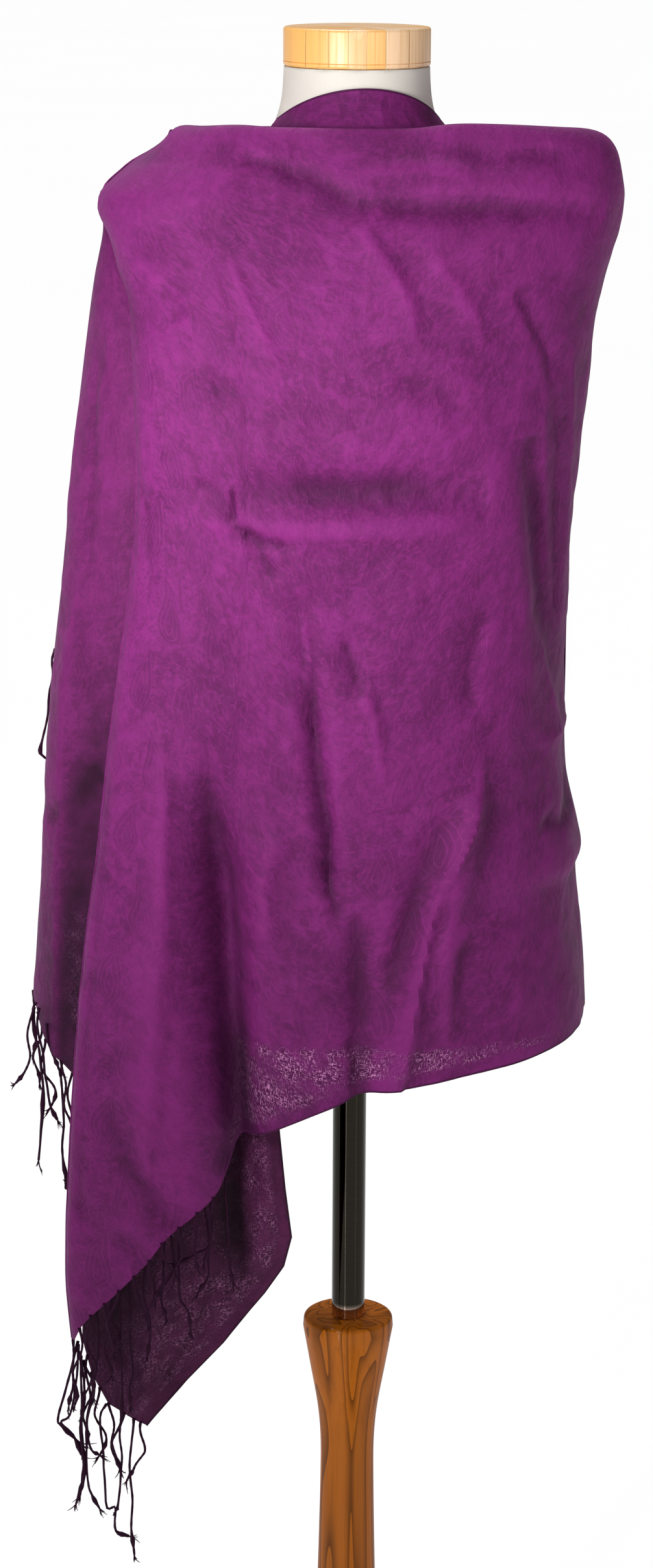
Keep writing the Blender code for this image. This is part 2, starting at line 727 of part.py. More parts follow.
def form_body(finish):
    """The torso and neck: a loft through its sections, closed at both ends."""
    bm = bmesh.new()
    rows = []
    for section in reversed(BODY):
        rows.append([bm.verts.new(point) for point in ring(section, BODY_SIDES)])
    for lower, upper in zip(rows, rows[1:]):
        for i in range(BODY_SIDES):
            j = (i + 1) % BODY_SIDES
            bm.faces.new((lower[i], lower[j], upper[j], upper[i]))
    bm.faces.new(list(reversed(rows[0])))
    bm.faces.new(rows[-1])
    mesh = bpy.data.meshes.new("form_body")
    bm.to_mesh(mesh)
    bm.free()
    return place("form_body", mesh, finish)


def round_bar(name, radius, bottom, top, sides, finish, rounding=0.0):
    """An upright round bar or disc, with its edges eased."""
    bm = bmesh.new()
    bmesh.ops.create_cone(
        bm, cap_ends=True, segments=sides, radius1=radius, radius2=radius, depth=top - bottom)
    mesh = bpy.data.meshes.new(name)
    bm.to_mesh(mesh)
    bm.free()
    made = place(name, mesh, finish)
    made.location.z = (bottom + top) / 2
    if rounding:
        eased = made.modifiers.new("edges", "BEVEL")
        eased.width = rounding
        eased.segments = 2
        eased.limit_method = "ANGLE"
    return made


def turned(name, profile, bottom, sides, finish):
    """A turned piece: its profile run round the axis, closed top and bottom."""
    bm = bmesh.new()
    top = bm.verts.new((0.0, 0.0, profile[0].z))
    chain = [top]
    for row in profile:
        chain.append(bm.verts.new((row.radius, 0.0, row.z)))
    chain.append(bm.verts.new((profile[-1].radius, 0.0, bottom)))
    chain.append(bm.verts.new((0.0, 0.0, bottom)))
    for a, b in zip(chain, chain[1:]):
        bm.edges.new((a, b))
    mesh = bpy.data.meshes.new(name)
    bm.to_mesh(mesh)
    bm.free()
    made = place(name, mesh, finish)
    screw = made.modifiers.new("turning", "SCREW")
    screw.axis = "Z"
    screw.angle = math.radians(360)
    screw.steps = sides
    screw.render_steps = sides
    screw.use_merge_vertices = True
    screw.merge_threshold = 0.00005
    return made


def build():
    """Make every piece."""
    cloth = material("purple cloth", PURPLE)
    body = material("off-white cover", OFF_WHITE)
    pine = material("light pine", PINE)
    varnished = material("varnished wood", VARNISHED)
    chrome = material("chromed steel", CHROME)

    form_body(body)
    round_bar("neck_cap", CAP_RADIUS, CAP_BOTTOM, CAP_BOTTOM + CAP_HEIGHT, 32, pine, 0.0015)
    round_bar("form_pole", POLE_RADIUS, POST_TOP + SEAM, BODY_BOTTOM - SEAM, 20, chrome)
    turned("stand_post", POST, BASE_HEIGHT + SEAM, 24, varnished)
    round_bar("stand_base", BASE_RADIUS, 0.0, BASE_HEIGHT, 40, varnished, 0.005)

    sheet("scarf_collar", COLLAR_CELLS, collar_spot, cloth)
    sheet("scarf_front", FRONT_CELLS, front_spot, cloth)
    sheet("scarf_front_return", RETURN_CELLS, return_spot, cloth)
    sheet("scarf_side", SIDE_CELLS, side_spot, cloth)
    sheet("scarf_tail", TAIL_CELLS, tail_spot, cloth)
    sheet("scarf_back", BACK_CELLS, back_spot, cloth)
    sheet("scarf_back_corner", CORNER_CELLS, corner_spot, cloth)

    columns = FRONT_CELLS[0]
    stops = [(i / columns, 0.0) for i in range(FRONT_FRINGE_COLUMNS + 1)]
    fringe_node("fringe_front", edge_roots(front_spot, stops, (0, -1)), FRONT_FRINGE, cloth)

    columns = SIDE_CELLS[0]
    stops = [(i / columns, 0.0) for i in range(SIDE_FRINGE_COLUMNS + 1)]
    fringe_node("fringe_side", edge_roots(side_spot, stops, (0, -1)), SIDE_FRINGE, cloth)

    columns, rows = TAIL_CELLS
    stops = [(0.0, i / rows) for i in range(TAIL_FRINGE_ROWS, 0, -1)]
    stops += [(i / columns, 0.0) for i in range(columns + 1)]
    roots = edge_roots(tail_spot, stops, (-1, -1))
    fringe_node("fringe_tail", roots, TAIL_FRINGE, cloth)

    columns = CORNER_CELLS[0]
    stops = [(i / columns, 0.0) for i in range(columns + 1)]
    fringe_node("fringe_back", edge_roots(corner_spot, stops, (0, -1)), BACK_FRINGE, cloth, back_fall)


clear_scene()
COLLECTION = bpy.data.collections.new("shawl_scarf_on_dress_form")
HELPERS = bpy.data.collections.new("helpers")
bpy.context.scene.collection.children.link(COLLECTION)
bpy.context.scene.collection.children.link(HELPERS)
build()
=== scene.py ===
"""Looks of a shawl scarf on a dress form: cloth, fringe, form, stand and studio.

Laid out as a Blender add-on and run as a script.  Metres, +Z up; the front of
the form faces -Y, and left and right are those of someone looking at it.
"""

import math
from collections import namedtuple

import bmesh
import bpy
import numpy as np
from mathutils import Matrix, Vector, noise


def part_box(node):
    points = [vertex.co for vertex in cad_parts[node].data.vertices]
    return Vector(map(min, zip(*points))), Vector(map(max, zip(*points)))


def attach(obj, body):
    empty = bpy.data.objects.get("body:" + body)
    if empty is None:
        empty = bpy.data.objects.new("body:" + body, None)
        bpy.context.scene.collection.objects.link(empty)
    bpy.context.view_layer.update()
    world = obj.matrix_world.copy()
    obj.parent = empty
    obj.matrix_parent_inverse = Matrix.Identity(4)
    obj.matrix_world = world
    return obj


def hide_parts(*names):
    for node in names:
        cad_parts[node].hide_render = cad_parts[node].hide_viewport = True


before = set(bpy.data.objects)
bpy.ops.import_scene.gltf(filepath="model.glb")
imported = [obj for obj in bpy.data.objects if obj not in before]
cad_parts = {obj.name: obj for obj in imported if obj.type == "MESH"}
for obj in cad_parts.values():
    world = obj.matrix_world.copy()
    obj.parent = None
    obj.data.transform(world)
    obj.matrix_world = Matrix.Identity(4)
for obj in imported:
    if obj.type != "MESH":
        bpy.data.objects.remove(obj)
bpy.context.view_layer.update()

bl_info = {
    "name": "Shawl scarf on a dress form",
    "version": (1, 0, 0),
    "blender": (4, 5, 0),
    "location": "3D View > Sidebar > Scarf",
    "description": "Makes the cloth, the fringe, the form, its stand and a plain studio",
    "category": "Add Mesh",
}


def metres(value):
    """Millimetres of a table in metres, to a thousandth of a millimetre."""
    return round(value / 1000, 6)


def in_metres(kind, rows, plain=0):
    """The rows of a table in millimetres, whose last few fields may be plain numbers."""
    lengths = len(kind._fields) - plain
    return tuple(kind(*map(metres, row[:lengths]), *row[lengths:]) for row in rows)


def bent_line(numbers):
    """The (x, z) points of a bent line, from its numbers in turn."""
    return tuple(zip(map(metres, numbers[::2]), map(metres, numbers[1::2])))


def shade_table(rows):
    """Creases from rows of left, right, depth as a plain number, and point, and then the line."""
    return tuple(Crease(bent_line(line), metres(left), metres(right), depth, point)
                 for left, right, depth, point, *line in rows)


def crease_table(rows):
    """Creases from the same rows with their depth in millimetres."""
    return tuple(crease._replace(depth=metres(crease.depth)) for crease in shade_table(rows))


def seen_table(y, rows):
    """Strands that show singly, from their y and a bent line for each."""
    return SeenStrands(metres(y), tuple(bent_line(line) for line in rows))


# The height of the photograph and the camera that took it
PHOTO_HEIGHT = 2416
FOCAL_PIXELS = 5500.0
SENSOR_MM = 36.0
CAMERA_DISTANCE = 2.75
CAMERA_PITCH = math.radians(14.8)
CAMERA_ROLL = math.radians(-0.30)
CAMERA_AIM = Vector((-0.0195, 0.0, 1.0))

# Where the even light stands (how far round from the front, and how high), and
# the soft panels with their spread in degrees and their share of a power
HIGH_TURN = math.radians(160)
HIGH_RISE = math.radians(62)
Panel = namedtuple("Panel", "name place aim size spread share power")
PANELS = (
    Panel("key_panel", (-0.50, -0.95, 1.50), (-0.06, -0.12, 1.26), (0.30, 0.30), 70, 1.0, "key"),
    Panel("left_strip", (-0.41, -0.97, 0.45), (0.0, 0.0, 0.45), (0.03, 0.90), 180, 1.5, "strip"),
    Panel("right_strip", (0.95, -0.84, 0.50), (0.0, 0.0, 0.50), (0.16, 0.90), 180, 0.5, "strip"),
    Panel("neck_panel", (0.55, -1.10, 1.75), (0.01, -0.03, 1.53), (0.20, 0.20), 30, 1.0, "fill"),
)

# The tables are in millimetres, but for the fields that aren't lengths.
# The wrap at each height: how far it reaches to each side, and how square
# its plan is (2 is an ellipse).  The first three rows are the yoke
Wrap = namedtuple("Wrap", "z right left front back square")
WRAP = in_metres(Wrap, (
    (1502, 67.5, 66.5, 66.5, 66, 2), (1503.5, 120, 100, 72, 71, 3), (1506, 178, 134, 79, 77, 5),
    (1496, 187, 138.5, 85, 83, 4.6), (1480, 192.2, 154, 94, 91, 4), (1468, 195, 170.5, 101, 96, 3.7),
    (1452, 196.2, 187, 108, 101, 3.4), (1423, 191.7, 187, 118, 109, 3.1),
    (1390, 183.5, 193.5, 127, 114, 2.9), (1345, 175.5, 200, 136, 118, 2.7),
    (1290, 170.2, 207, 143, 118, 2.5), (1230, 165, 213.7, 145, 117, 2.5),
    (1170, 163, 219.5, 145, 117, 2.5), (1100, 162.5, 228, 145, 119, 2.5),
    (1020, 164, 234.5, 146, 124, 2.6), (974, 174, 237, 147.5, 127, 2.6), (958, 176.5, 238, 148, 128, 2.6),
    (942, 172.5, 239, 148.2, 129, 2.6), (880, 179.5, 244, 150, 132, 2.6),
    (820, 183.5, 247.5, 152, 136, 2.6), (580, 186, 249, 154, 138, 2.6),
), plain=1)
YOKE_ROWS = 3
RIDGE = WRAP[YOKE_ROWS - 1].z

# How far the front ridge stands above its height, read across the cloth
Lift = namedtuple("Lift", "x rise")
RIDGE_LIFT = in_metres(Lift, (
    (-145, 0), (-134, 3.5), (-122, 1), (-86, 3), (-60, 0.5), (40, 0), (70, 5), (110, 4.5), (150, 2),
    (185, 0),
))
LIFT_REACH = 0.010
LIFT_FADE = 0.030
LEAN = 0.07
LEAN_FROM = -0.079
LEAN_HEIGHTS = (1.470, 1.500)

# The folded left edge of the front, and where the layer under it ends
Fold = namedtuple("Fold", "z x y")
FOLD_EDGE = in_metres(Fold, (
    (1440, -188, -1), (1423, -180.4, -15), (1397, -171.6, -35), (1373, -164, -55), (1337, -160.7, -72),
    (1280, -158.4, -86), (1200, -160.6, -93), (1113, -171.8, -96), (1050, -180.8, -98),
    (969, -190.2, -100), (905, -198.7, -102), (839, -205.4, -104), (744, -212.5, -107),
    (638, -216.4, -110), (577, -211.7, -112),
))
RETURN_TOP = 1.415
RETURN_FULL = 1.290
# How far the return reaches back: at its top, lower down and at its foot, and
# how far it stands open and rises at the foot
RETURN_NARROW, RETURN_WIDE, RETURN_FLARE = 0.004, 0.010, 0.018
RETURN_OPEN = 0.006
RETURN_RISE, RETURN_RISE_TOP, RETURN_RISE_FADE = 0.045, 0.70, 0.10
FOLD_STEPS = 6
SIDE_TOP = 1.4330
SIDE_END = in_metres(Fold, (
    (1433, -184.5, -5), (1423, -179, -12), (1405, -172, -25), (1373, -157, -45), (1337, -141, -59),
    (1282, -133, -72), (1200, -133, -75), (1100, -140, -77), (1000, -148, -79), (900, -160, -80),
    (750, -175, -80),
))
SIDE_SQUARE = 2.3

# Height of each lower edge, read across the cloth.  A column finds its own
# by a few tries from a first height, because its x changes with the height
HEM_START = 0.8
HEM_TRIES = 4
Edge = namedtuple("Edge", "x z")
FRONT_HEM = in_metres(Edge, (
    (-213, 586), (-203, 607), (-175, 638), (-152, 664), (-137, 685), (-118, 702), (-104, 718), (-96, 750),
    (-79, 760), (-55, 771), (-18, 788), (14, 801), (49, 807), (105, 816), (144, 821.5), (170, 826.5),
    (186, 829),
))
FRONT_CORNER_X = -0.096
# Below this height, where nothing is behind it, the front looks open, with painted glints and shade in its
# weave
SHEER_TOP = 0.8360
BACK_HEM = in_metres(Edge, (
    (-248, 836), (-150, 806), (0, 797), (130, 808), (186, 829),
))
SIDE_HEM = in_metres(Edge, (
    (-247, 836), (-236.6, 809), (-223.2, 796), (-212.8, 789), (-175, 770),
))

# The tail that hangs under the front: its left and right edges, row by row
Tail = namedtuple("Tail", "left_x left_y left_z right_x right_y right_z")
TAIL = in_metres(Tail, (
    (-196, -78.9, 800, -50, -96, 800), (-198, -79.3, 755, -54, -99, 757), (-200, -84, 715, -49, -102, 707),
    (-202, -87, 680, -44, -103, 668), (-204, -88, 650, -50, -101, 643), (-206, -88, 620, -65, -98, 619),
    (-207, -88, 577, -97, -96, 577), (-200, -89, 548, -127, -94, 543), (-187, -90, 523, -157, -92, 505),
))

# The corner over the left shoulder at the back, as turns round the wrap
CORNER_TURNS = (1 / 9, 8 / 9)
CORNER_HEIGHTS = (1.300, 1.106)
CORNER_BELOW_RIDGE = 0.005
CORNER_LIFT = 0.0026

# The top edge of the cloth, standing against the front of the neck
Neck = namedtuple("Neck", "z radius")
NECK = in_metres(Neck, (
    (1543.5, 54), (1530, 54.5), (1518, 55.8), (1508, 58.5), (1500, 64),
))
COLLAR_CLEAR = 0.0022
COLLAR_REACH = math.radians(78)
COLLAR_MIDDLE = math.radians(6)
COLLAR_TOP = 1.5310
COLLAR_END = 1.5070
COLLAR_FOOT = 1.5013

# The largest folds, which the solids have too: straight, with a soft round
# profile.  Depth is inwards, so a ridge has a negative depth
Trough = namedtuple("Trough", "x_top z_top x_low z_low width depth runs_off")
FRONT_TROUGHS = in_metres(Trough, (
    (-112, 1060, -93, 740, 19, 36, True), (-152, 1020, -158, 660, 24, -6, True),
    (-85, 1250, 95, 1258, 17, 9, False), (-85, 1222, 90, 1232, 12, -5, False),
    (128, 1290, 152, 1060, 13, 10, False), (92, 1030, 40, 830, 12, -9, False),
    (70, 1020, 18, 850, 12, 6, False), (-40, 1180, -16, 950, 9, 7, False), (4, 960, 10, 790, 12, 8, True),
    (-52, 1480, 10, 1446, 10, 6, False), (0, 1452, 178, 1448, 10, 8, False),
), plain=1)
BACK_TROUGHS = in_metres(Trough, (
    (110, 1330, 70, 850, 20, 7, False), (20, 1200, 30, 780, 22, 9, True),
    (-60, 1080, -75, 780, 20, -9, True), (-140, 1120, -160, 780, 20, 10, True),
    (120, 1050, 135, 780, 18, -8, True),
), plain=1)
TROUGH_START = 2.5

# Smaller creases along bent lines of (x, z) points: their widths to the left
# and right of the line, the depth inwards, and how pointed they are (2 is
# round, 1 is a sharp line)
Crease = namedtuple("Crease", "path left right depth point")
FRONT_CREASES = crease_table((
    (13, 3.5, -2.2, 1.3, -2, 1449, 3, 1439, 30, 1402, 39, 1385, 43, 1355),
    (10, 4, -1.4, 1.4, 46, 1430, 70, 1399, 83, 1380, 92, 1350),
    (4, 11, 2.6, 1.1, 110, 1406, 118, 1386, 133, 1358, 139, 1345, 141, 1318),
    (9, 3, -1.7, 1.2, -96, 1428, -89, 1415, -80, 1393, -63, 1357, -46, 1332),
    (10, 5, 2.2, 1.5, -143, 1398, -132, 1385, -122, 1371),
    (10, 5, 2.6, 1.5, -88, 1486, -55, 1477, -33, 1459),
    (10, 8, 2.2, 2, 46, 1496, 96, 1487, 161, 1491),
    (6, 7, -2, 1.6, -10, 1474, 40, 1480, 90, 1476),
    (8, 3.5, -2.2, 1.2, -39, 1183, -32, 1134, -33, 1097, -27, 1053, -18, 1008),
    (6, 5, 3.6, 1.3, -34, 1120, -27, 1053, -17, 1003, -17, 950),
    (10, 3, -2, 1.2, 4, 1122, 16, 1084, 23, 1036),
    (6, 4, 2, 1.3, -8, 1150, 2, 1120, 10, 1098),
    (12, 5, -3, 1.3, 116, 1290, 123, 1205, 127, 1156, 143, 1097, 154, 1062, 163, 1022),
    (17, 4.5, -5, 1.3, 94, 1075, 92, 1026, 88, 1006, 78, 984, 65, 961, 56, 935, 51, 902, 44, 854, 38, 815),
    (9, 4.5, -3, 1.4, 91, 938, 74, 912, 71, 883, 69, 835),
    (8, 7, 3, 1.8, 79, 960, 64, 925, 57, 890, 54, 840),
    (3, 4, 1.4, 1.3, 141, 1345, 148, 1274, 149, 1178, 150, 1120),
    (3, 3, -1.3, 1.3, 156, 1366, 158, 1271, 156, 1174),
    (4, 4, -1.3, 1.4, 134, 1330, 138, 1247, 141, 1156),
    (6, 6, 2.5, 1.5, 160, 1060, 166, 1020, 163, 985),
    (6, 9, 2.8, 1.6, 140, 1000, 158, 990, 172, 996),
    (7, 5, 2.6, 1.4, -87, 1231, -70, 1212, -55, 1185),
    (6, 6, 2, 1.5, -87, 1231, -100, 1250, -118, 1262),
    (4, 6, -2, 1.4, -110, 1225, -87, 1229, -60, 1226),
    (4, 7, 3, 1.3, -20, 985, -17, 957, -10, 930),
    (12, 10, -2.8, 2, -50, 1010, -68, 960, -62, 900),
    (16, 6, -2.8, 1.6, -142, 1110, -137, 1020, -140, 900, -150, 760),
    (5, 6, 1.2, 1.4, -176, 1080, -186, 960, -200, 820, -206, 700),
    (5, 4, 1.2, 1.3, -166, 1300, -150, 1230, -148, 1150),
    (3, 3, 1, 1.3, -128, 880, -95, 884, -64, 878),
    (3, 3, 0.9, 1.3, 5, 1020, 30, 1016, 52, 1024),
    (12, 8, 1.6, 2, 20, 1335, 60, 1325, 85, 1300),
    (14, 10, 1.6, 2, -120, 1330, -80, 1318, -40, 1300),
    (10, 6, 2.2, 1.6, 100, 1180, 85, 1120, 88, 1075),
    (10, 50, 5.5, 1.6, -110, 1100, -104, 980, -98, 860, -94, 740),
    (6, 4, 2.6, 1.2, -2, 850, 3, 825, 5, 790),
    (12, 16, 2.4, 1.8, -190, 800, -170, 740, -140, 700),
    (3, 3, 3, 1.4, -88.5, 1258, -88.3, 1246, -87.5, 1228),
    (3.5, 6, 3, 1.5, -103, 1233, -87, 1228.5, -68.3, 1216, -35.7, 1211.5),
    (10, 10, 2, 1.8, -180, 690, -160, 665, -150, 640),
))
BACK_CREASES = crease_table((
    (12, 10, 4, 2, 140, 1440, 60, 1452, -20, 1448),
    (12, 5, -3.2, 1.4, 150, 1400, 110, 1350, 90, 1290, 85, 1220),
    (6, 10, 2.8, 1.3, 30, 1400, 45, 1330, 40, 1260),
    (11, 14, 4.5, 2, 80, 1240, 20, 1232, -40, 1240),
    (10, 9, -3, 2, 70, 1205, 20, 1200, -20, 1206),
    (10, 4, -3.4, 1.3, 10, 1160, 18, 1060, 6, 960),
    (7, 13, 4, 1.6, -20, 1020, -36, 940, -30, 850, -34, 780),
    (16, 6, -4.2, 1.4, 90, 1060, 60, 980, 52, 900, 56, 790),
    (8, 8, 3, 1.6, 140, 1010, 118, 940, 112, 860, 110, 790),
    (6, 12, -3.6, 1.4, -100, 1060, -116, 960, -110, 860, -116, 790),
    (12, 7, -3, 1.6, -180, 1080, -196, 980, -200, 860),
    (3, 4, 1.4, 1.3, 150, 1300, 152, 1200, 148, 1110),
    (4, 3, -1.4, 1.3, 130, 1280, 134, 1190, 128, 1120),
))
SIDE_CREASES = crease_table((
    (10, 16, 3, 1.6, -187, 1040, -222, 990, -240, 975),
    (8, 6, 2, 1.5, -190, 1380, -196, 1260, -200, 1150),
    (7, 5, -2.2, 1.6, -205, 1180, -218, 1060, -222, 940, -226, 800),
))
TAIL_CREASES = crease_table((
    (12, 9, -4, 1.6, -150, 760, -140, 680, -150, 590, -160, 520),
    (8, 10, 3, 1.8, -176, 740, -180, 640, -178, 560),
    (8, 6, -2.6, 1.4, -68, 770, -62, 700, -72, 650),
    (6, 7, 2.4, 1.5, -100, 640, -118, 590, -140, 550),
))
Valley = namedtuple("Valley", "x width depth z_low rise")
TAIL_VALLEY = Valley(-0.094, 0.020, 0.014, 0.580, 0.080)
TAIL_BULGE = 0.006

# All small creases are made this much deeper than their tables say
CREASE_STRENGTH = 1.55

# Where the cloth lies in the shade of its own folds: the depth is how dark
FRONT_SHADES = shade_table((
    (16, 22, 0.3, 3, -122, 1020, -118, 900, -108, 730),
    (24, 40, 0.5, 2, -90, 1060, -66, 960, -52, 860, -50, 760),
    (16, 16, -0.42, 3, -98, 1000, -93, 930, -89, 860),
    (18, 20, 0.65, 3, -82, 850, -76, 790, -72, 730),
    (10, 14, 0.4, 2, -186, 790, -170, 750, -150, 700, -128, 655),
    (14, 14, 0.4, 2, -60, 1260, 0, 1262, 60, 1258),
    (20, 30, 0.35, 2, 50, 1000, 46, 930, 20, 850),
    (6, 14, 0.22, 1.8, -40, 1060, -20, 960, -12, 900),
))
TAIL_SHADES = shade_table((
    (10, 8, 1, 2, -84, 780, -86, 700, -80, 640),
    (60, 60, 1.4, 2.6, -95, 735, -130, 700, -170, 655, -205, 600),
    (20, 30, 0.5, 2, -150, 560, -170, 530, -186, 520),
))

# Grids: rows over the yoke, rows below it, and columns across each stretch
YOKE_GRID_ROWS = 16
WRAP_GRID_ROWS = 226
FRONT_COLUMNS = 170
FRONT_LEFT_SHARE = 0.56
RETURN_COLUMNS = 12
BACK_COLUMNS = 116
SIDE_GRID = (170, 48)
TAIL_GRID = (120, 70)
CORNER_GRID = (110, 76)
COLLAR_GRID = (18, 110)
PLAN_CHORDS = 96
RIDGE_SMOOTHING = 10
RIDGE_REACH = 9

# A crease runs out over this share of its length, or off the hem
CREASE_END = 4
NEAR_HEM = 0.03

# The uneven lie of the cloth: depth in metres, size and a shift of the noise
RIPPLES = ((0.0012, 0.026, 4.10), (0.0004, 0.010, 9.30))
LONG_RIPPLE = (0.0030, 0.060, 0.37)
LONG_WAY = (1.0, 1.0, 0.55)

# Relief for the painted shade and highlights: reach in cells, the height that counts as full, and its share
RELIEF = ((2, 0.0006, 0.45), (7, 0.0055, 0.35), (22, 0.0180, 0.70))
DEEPEST = -0.9
CORNER_ANGLE = math.radians(55)

# Stronger bands of the pattern, by their place along the cloth
Band = namedtuple("Band", "middle width weight")
FRONT_BANDS = (Band(0.045, 0.030, 0.5), Band(0.40, 0.035, 0.5))
BACK_BANDS = (Band(0.06, 0.035, 0.4),)
PAISLEY_FRONT, PAISLEY_BACK, PAISLEY_SIDE = 0.60, 0.55, 0.60
PAISLEY_RETURN, PAISLEY_TAIL, PAISLEY_CORNER, PAISLEY_COLLAR = 0.7, 0.35, 0.6, 0.25

# The woven edge that stays closed along an open part, and where that ends
CLOSED_EDGE = 0.009
TAIL_CLOSED_EDGE = 0.010
SHEER_RIGHT = 0.165

# Where the side's layer opens up, and the shade that the front lays on it
SIDE_SHEER = 0.7
SIDE_SHEER_TOP = 0.930
SIDE_SHEER_LEFT = -0.222
SIDE_SHADE = 1.9
SIDE_SHADE_REACH = 0.044
SIDE_SHADE_FADE = 0.032
SIDE_SHADE_TOP = 1.20

# How far under the ridge the small creases begin
RIDGE_CLEAR = 0.004
BACK_RIDGE_CLEAR = 0.010
CORNER_RIDGE_CLEAR = 0.020
RIDGE_CREASE_FADE = 0.02

# Grid lines between an edge and the one that shows which way is out of it
INNER = 4
# The share of the side's edge and of the tail's left edge that has a fringe
SIDE_FRINGE_END = 0.85
TAIL_FRINGE_RISE = 0.22
WELD = 0.00005


def read(table, key, at, column):
    """A column of a table at values of its key, on a smooth curve through the rows."""
    rows = sorted(table, key=lambda row: getattr(row, key))
    keys = np.array([getattr(row, key) for row in rows])
    values = np.array([getattr(row, column) for row in rows])
    slopes = np.empty_like(values)
    slopes[1:-1] = (values[2:] - values[:-2]) / (keys[2:] - keys[:-2])
    slopes[0] = (values[1] - values[0]) / (keys[1] - keys[0])
    slopes[-1] = (values[-1] - values[-2]) / (keys[-1] - keys[-2])
    at = np.clip(at, keys[0], keys[-1])
    step = np.clip(np.searchsorted(keys, at, side="right") - 1, 0, len(keys) - 2)
    span = keys[step + 1] - keys[step]
    t = (at - keys[step]) / span
    curve = values[step] + (values[step + 1] - values[step]) * t * t * (3 - 2 * t)
    curve += slopes[step] * span * t * (1 - t) ** 2
    return curve - slopes[step + 1] * span * t * t * (1 - t)


def smooth_step(value):
    """0 to 1 with soft ends."""
    t = np.clip(value, 0.0, 1.0)
    return t * t * (3 - 2 * t)


def bell(value, middle, width):
    """1 in the middle, falling off softly over a width."""
    return np.exp(-((value - middle) / width) ** 2)


def banded(weight, along, bands):
    """The pattern's weight along a stretch, stronger in some bands."""
    for band in bands:
        weight = weight + band.weight * bell(along, band.middle, band.width)
    return weight


def quarter(width, depth, square, share):
    """Points on quarters of rounded plans: share 0 is the middle, 1 the side."""
    width, depth, square, share = np.broadcast_arrays(width, depth, square, share)
    turn = np.linspace(0, math.pi / 2, PLAN_CHORDS + 1)
    power = (2 / square).ravel()[:, None]
    across = width.ravel()[:, None] * np.sin(turn) ** power
    along = depth.ravel()[:, None] * np.clip(np.cos(turn), 0, 1) ** power
    steps = np.hypot(np.diff(across), np.diff(along))
    lengths = np.concatenate([np.zeros((len(steps), 1)), np.cumsum(steps, axis=1)], axis=1)
    goal = share.ravel() * lengths[:, -1]
    index = np.clip((lengths < goal[:, None]).sum(axis=1) - 1, 0, PLAN_CHORDS - 1)
    every = np.arange(len(index))
    start, stop = lengths[every, index], lengths[every, index + 1]
    t = (goal - start) / np.maximum(stop - start, 1e-9)
    x = across[every, index] * (1 - t) + across[every, index + 1] * t
    y = along[every, index] * (1 - t) + along[every, index + 1] * t
    return x.reshape(share.shape), y.reshape(share.shape)


def wrap_row(z):
    """The wrap at heights below the ridge."""
    below = WRAP[YOKE_ROWS - 1:]
    return Wrap(z, *(read(below, "z", z, name) for name in Wrap._fields[1:]))


def yoke_row(level):
    """The wrap over the shoulders: level 0 is the neckline, 1 the ridge."""
    stops = np.linspace(0, 1, YOKE_ROWS)
    columns = np.array(WRAP[:YOKE_ROWS]).T
    return Wrap(*(np.interp(level, stops, column) for column in columns))


def leaned(points):
    """Lower the shoulders by how far they lie behind the front ridge."""
    low, high = LEAN_HEIGHTS
    share = smooth_step((points[..., 2] - low) / (high - low))
    points[..., 2] -= LEAN * np.maximum(points[..., 1] - LEAN_FROM, 0.0) * share
    return points


def lifted(points, share):
    """Raise the front ridge by its place across the cloth."""
    fade = np.clip(-points[..., 1] / LIFT_FADE, 0.0, 1.0)
    points[..., 2] += read(RIDGE_LIFT, "x", points[..., 0], "rise") * share * fade
    return points


def inward(points, row):
    """The level direction into the wrap from points of its plan."""
    depth = np.where(points[..., 1] < 0, row.front, row.back)
    width = np.where(points[..., 0] > 0, row.right, row.left)
    way = np.stack([-points[..., 0] / width ** 2, -points[..., 1] / depth ** 2], axis=-1)
    way /= np.maximum(np.linalg.norm(way, axis=-1, keepdims=True), 1e-9)
    return np.concatenate([way, np.zeros_like(way[..., :1])], axis=-1)


def trough_depth(points, troughs):
    """How far the large folds move points inwards."""
    place = points[..., (0, 2)]
    depth = np.zeros(points.shape[:-1])
    for fold in troughs:
        top = np.array((fold.x_top, fold.z_top))
        run = np.array((fold.x_low, fold.z_low)) - top
        along = (place - top) @ run / (run @ run)
        held = np.clip(along, 0.0, 1.0)
        if fold.runs_off:
            held = np.maximum(along, 0.0)
            fade = smooth_step(along * TROUGH_START)
        else:
            fade = np.sqrt(np.sin(math.pi * held))
        away = np.linalg.norm(place - top - held[..., None] * run, axis=-1)
        depth += fold.depth * fade * np.exp(-(away / fold.width) ** 2)
    return depth


def crease_sum(points, creases):
    """The creases' depths added up at points, each fading out along and across its line."""
    place = points[..., (0, 2)]
    depth = np.zeros(points.shape[:-1])
    for crease in creases:
        stops = np.array(crease.path)
        runs = np.diff(stops, axis=0)
        lengths = np.linalg.norm(runs, axis=1)
        total = lengths.sum()
        near = np.full(depth.shape, 1e9)
        along = np.zeros(depth.shape)
        side = np.zeros(depth.shape)
        done = 0.0
        for start, run, length in zip(stops, runs, lengths):
            offset = place - start
            t = np.clip(offset @ run / length ** 2, 0.0, 1.0)
            away = np.linalg.norm(offset - t[..., None] * run, axis=-1)
            closer = away < near
            near = np.where(closer, away, near)
            along = np.where(closer, done + t * length, along)
            turn = run[0] * offset[..., 1] - run[1] * offset[..., 0]
            side = np.where(closer, turn, side)
            done += length
        width = np.where(side < 0, crease.left, crease.right)
        fade = smooth_step(CREASE_END * along / total)
        if stops[-1][1] >= HEM_START + NEAR_HEM:
            fade = fade * smooth_step(CREASE_END * (total - along) / total)
        depth += crease.depth * fade * np.exp(-(near / width) ** crease.point)
    return depth


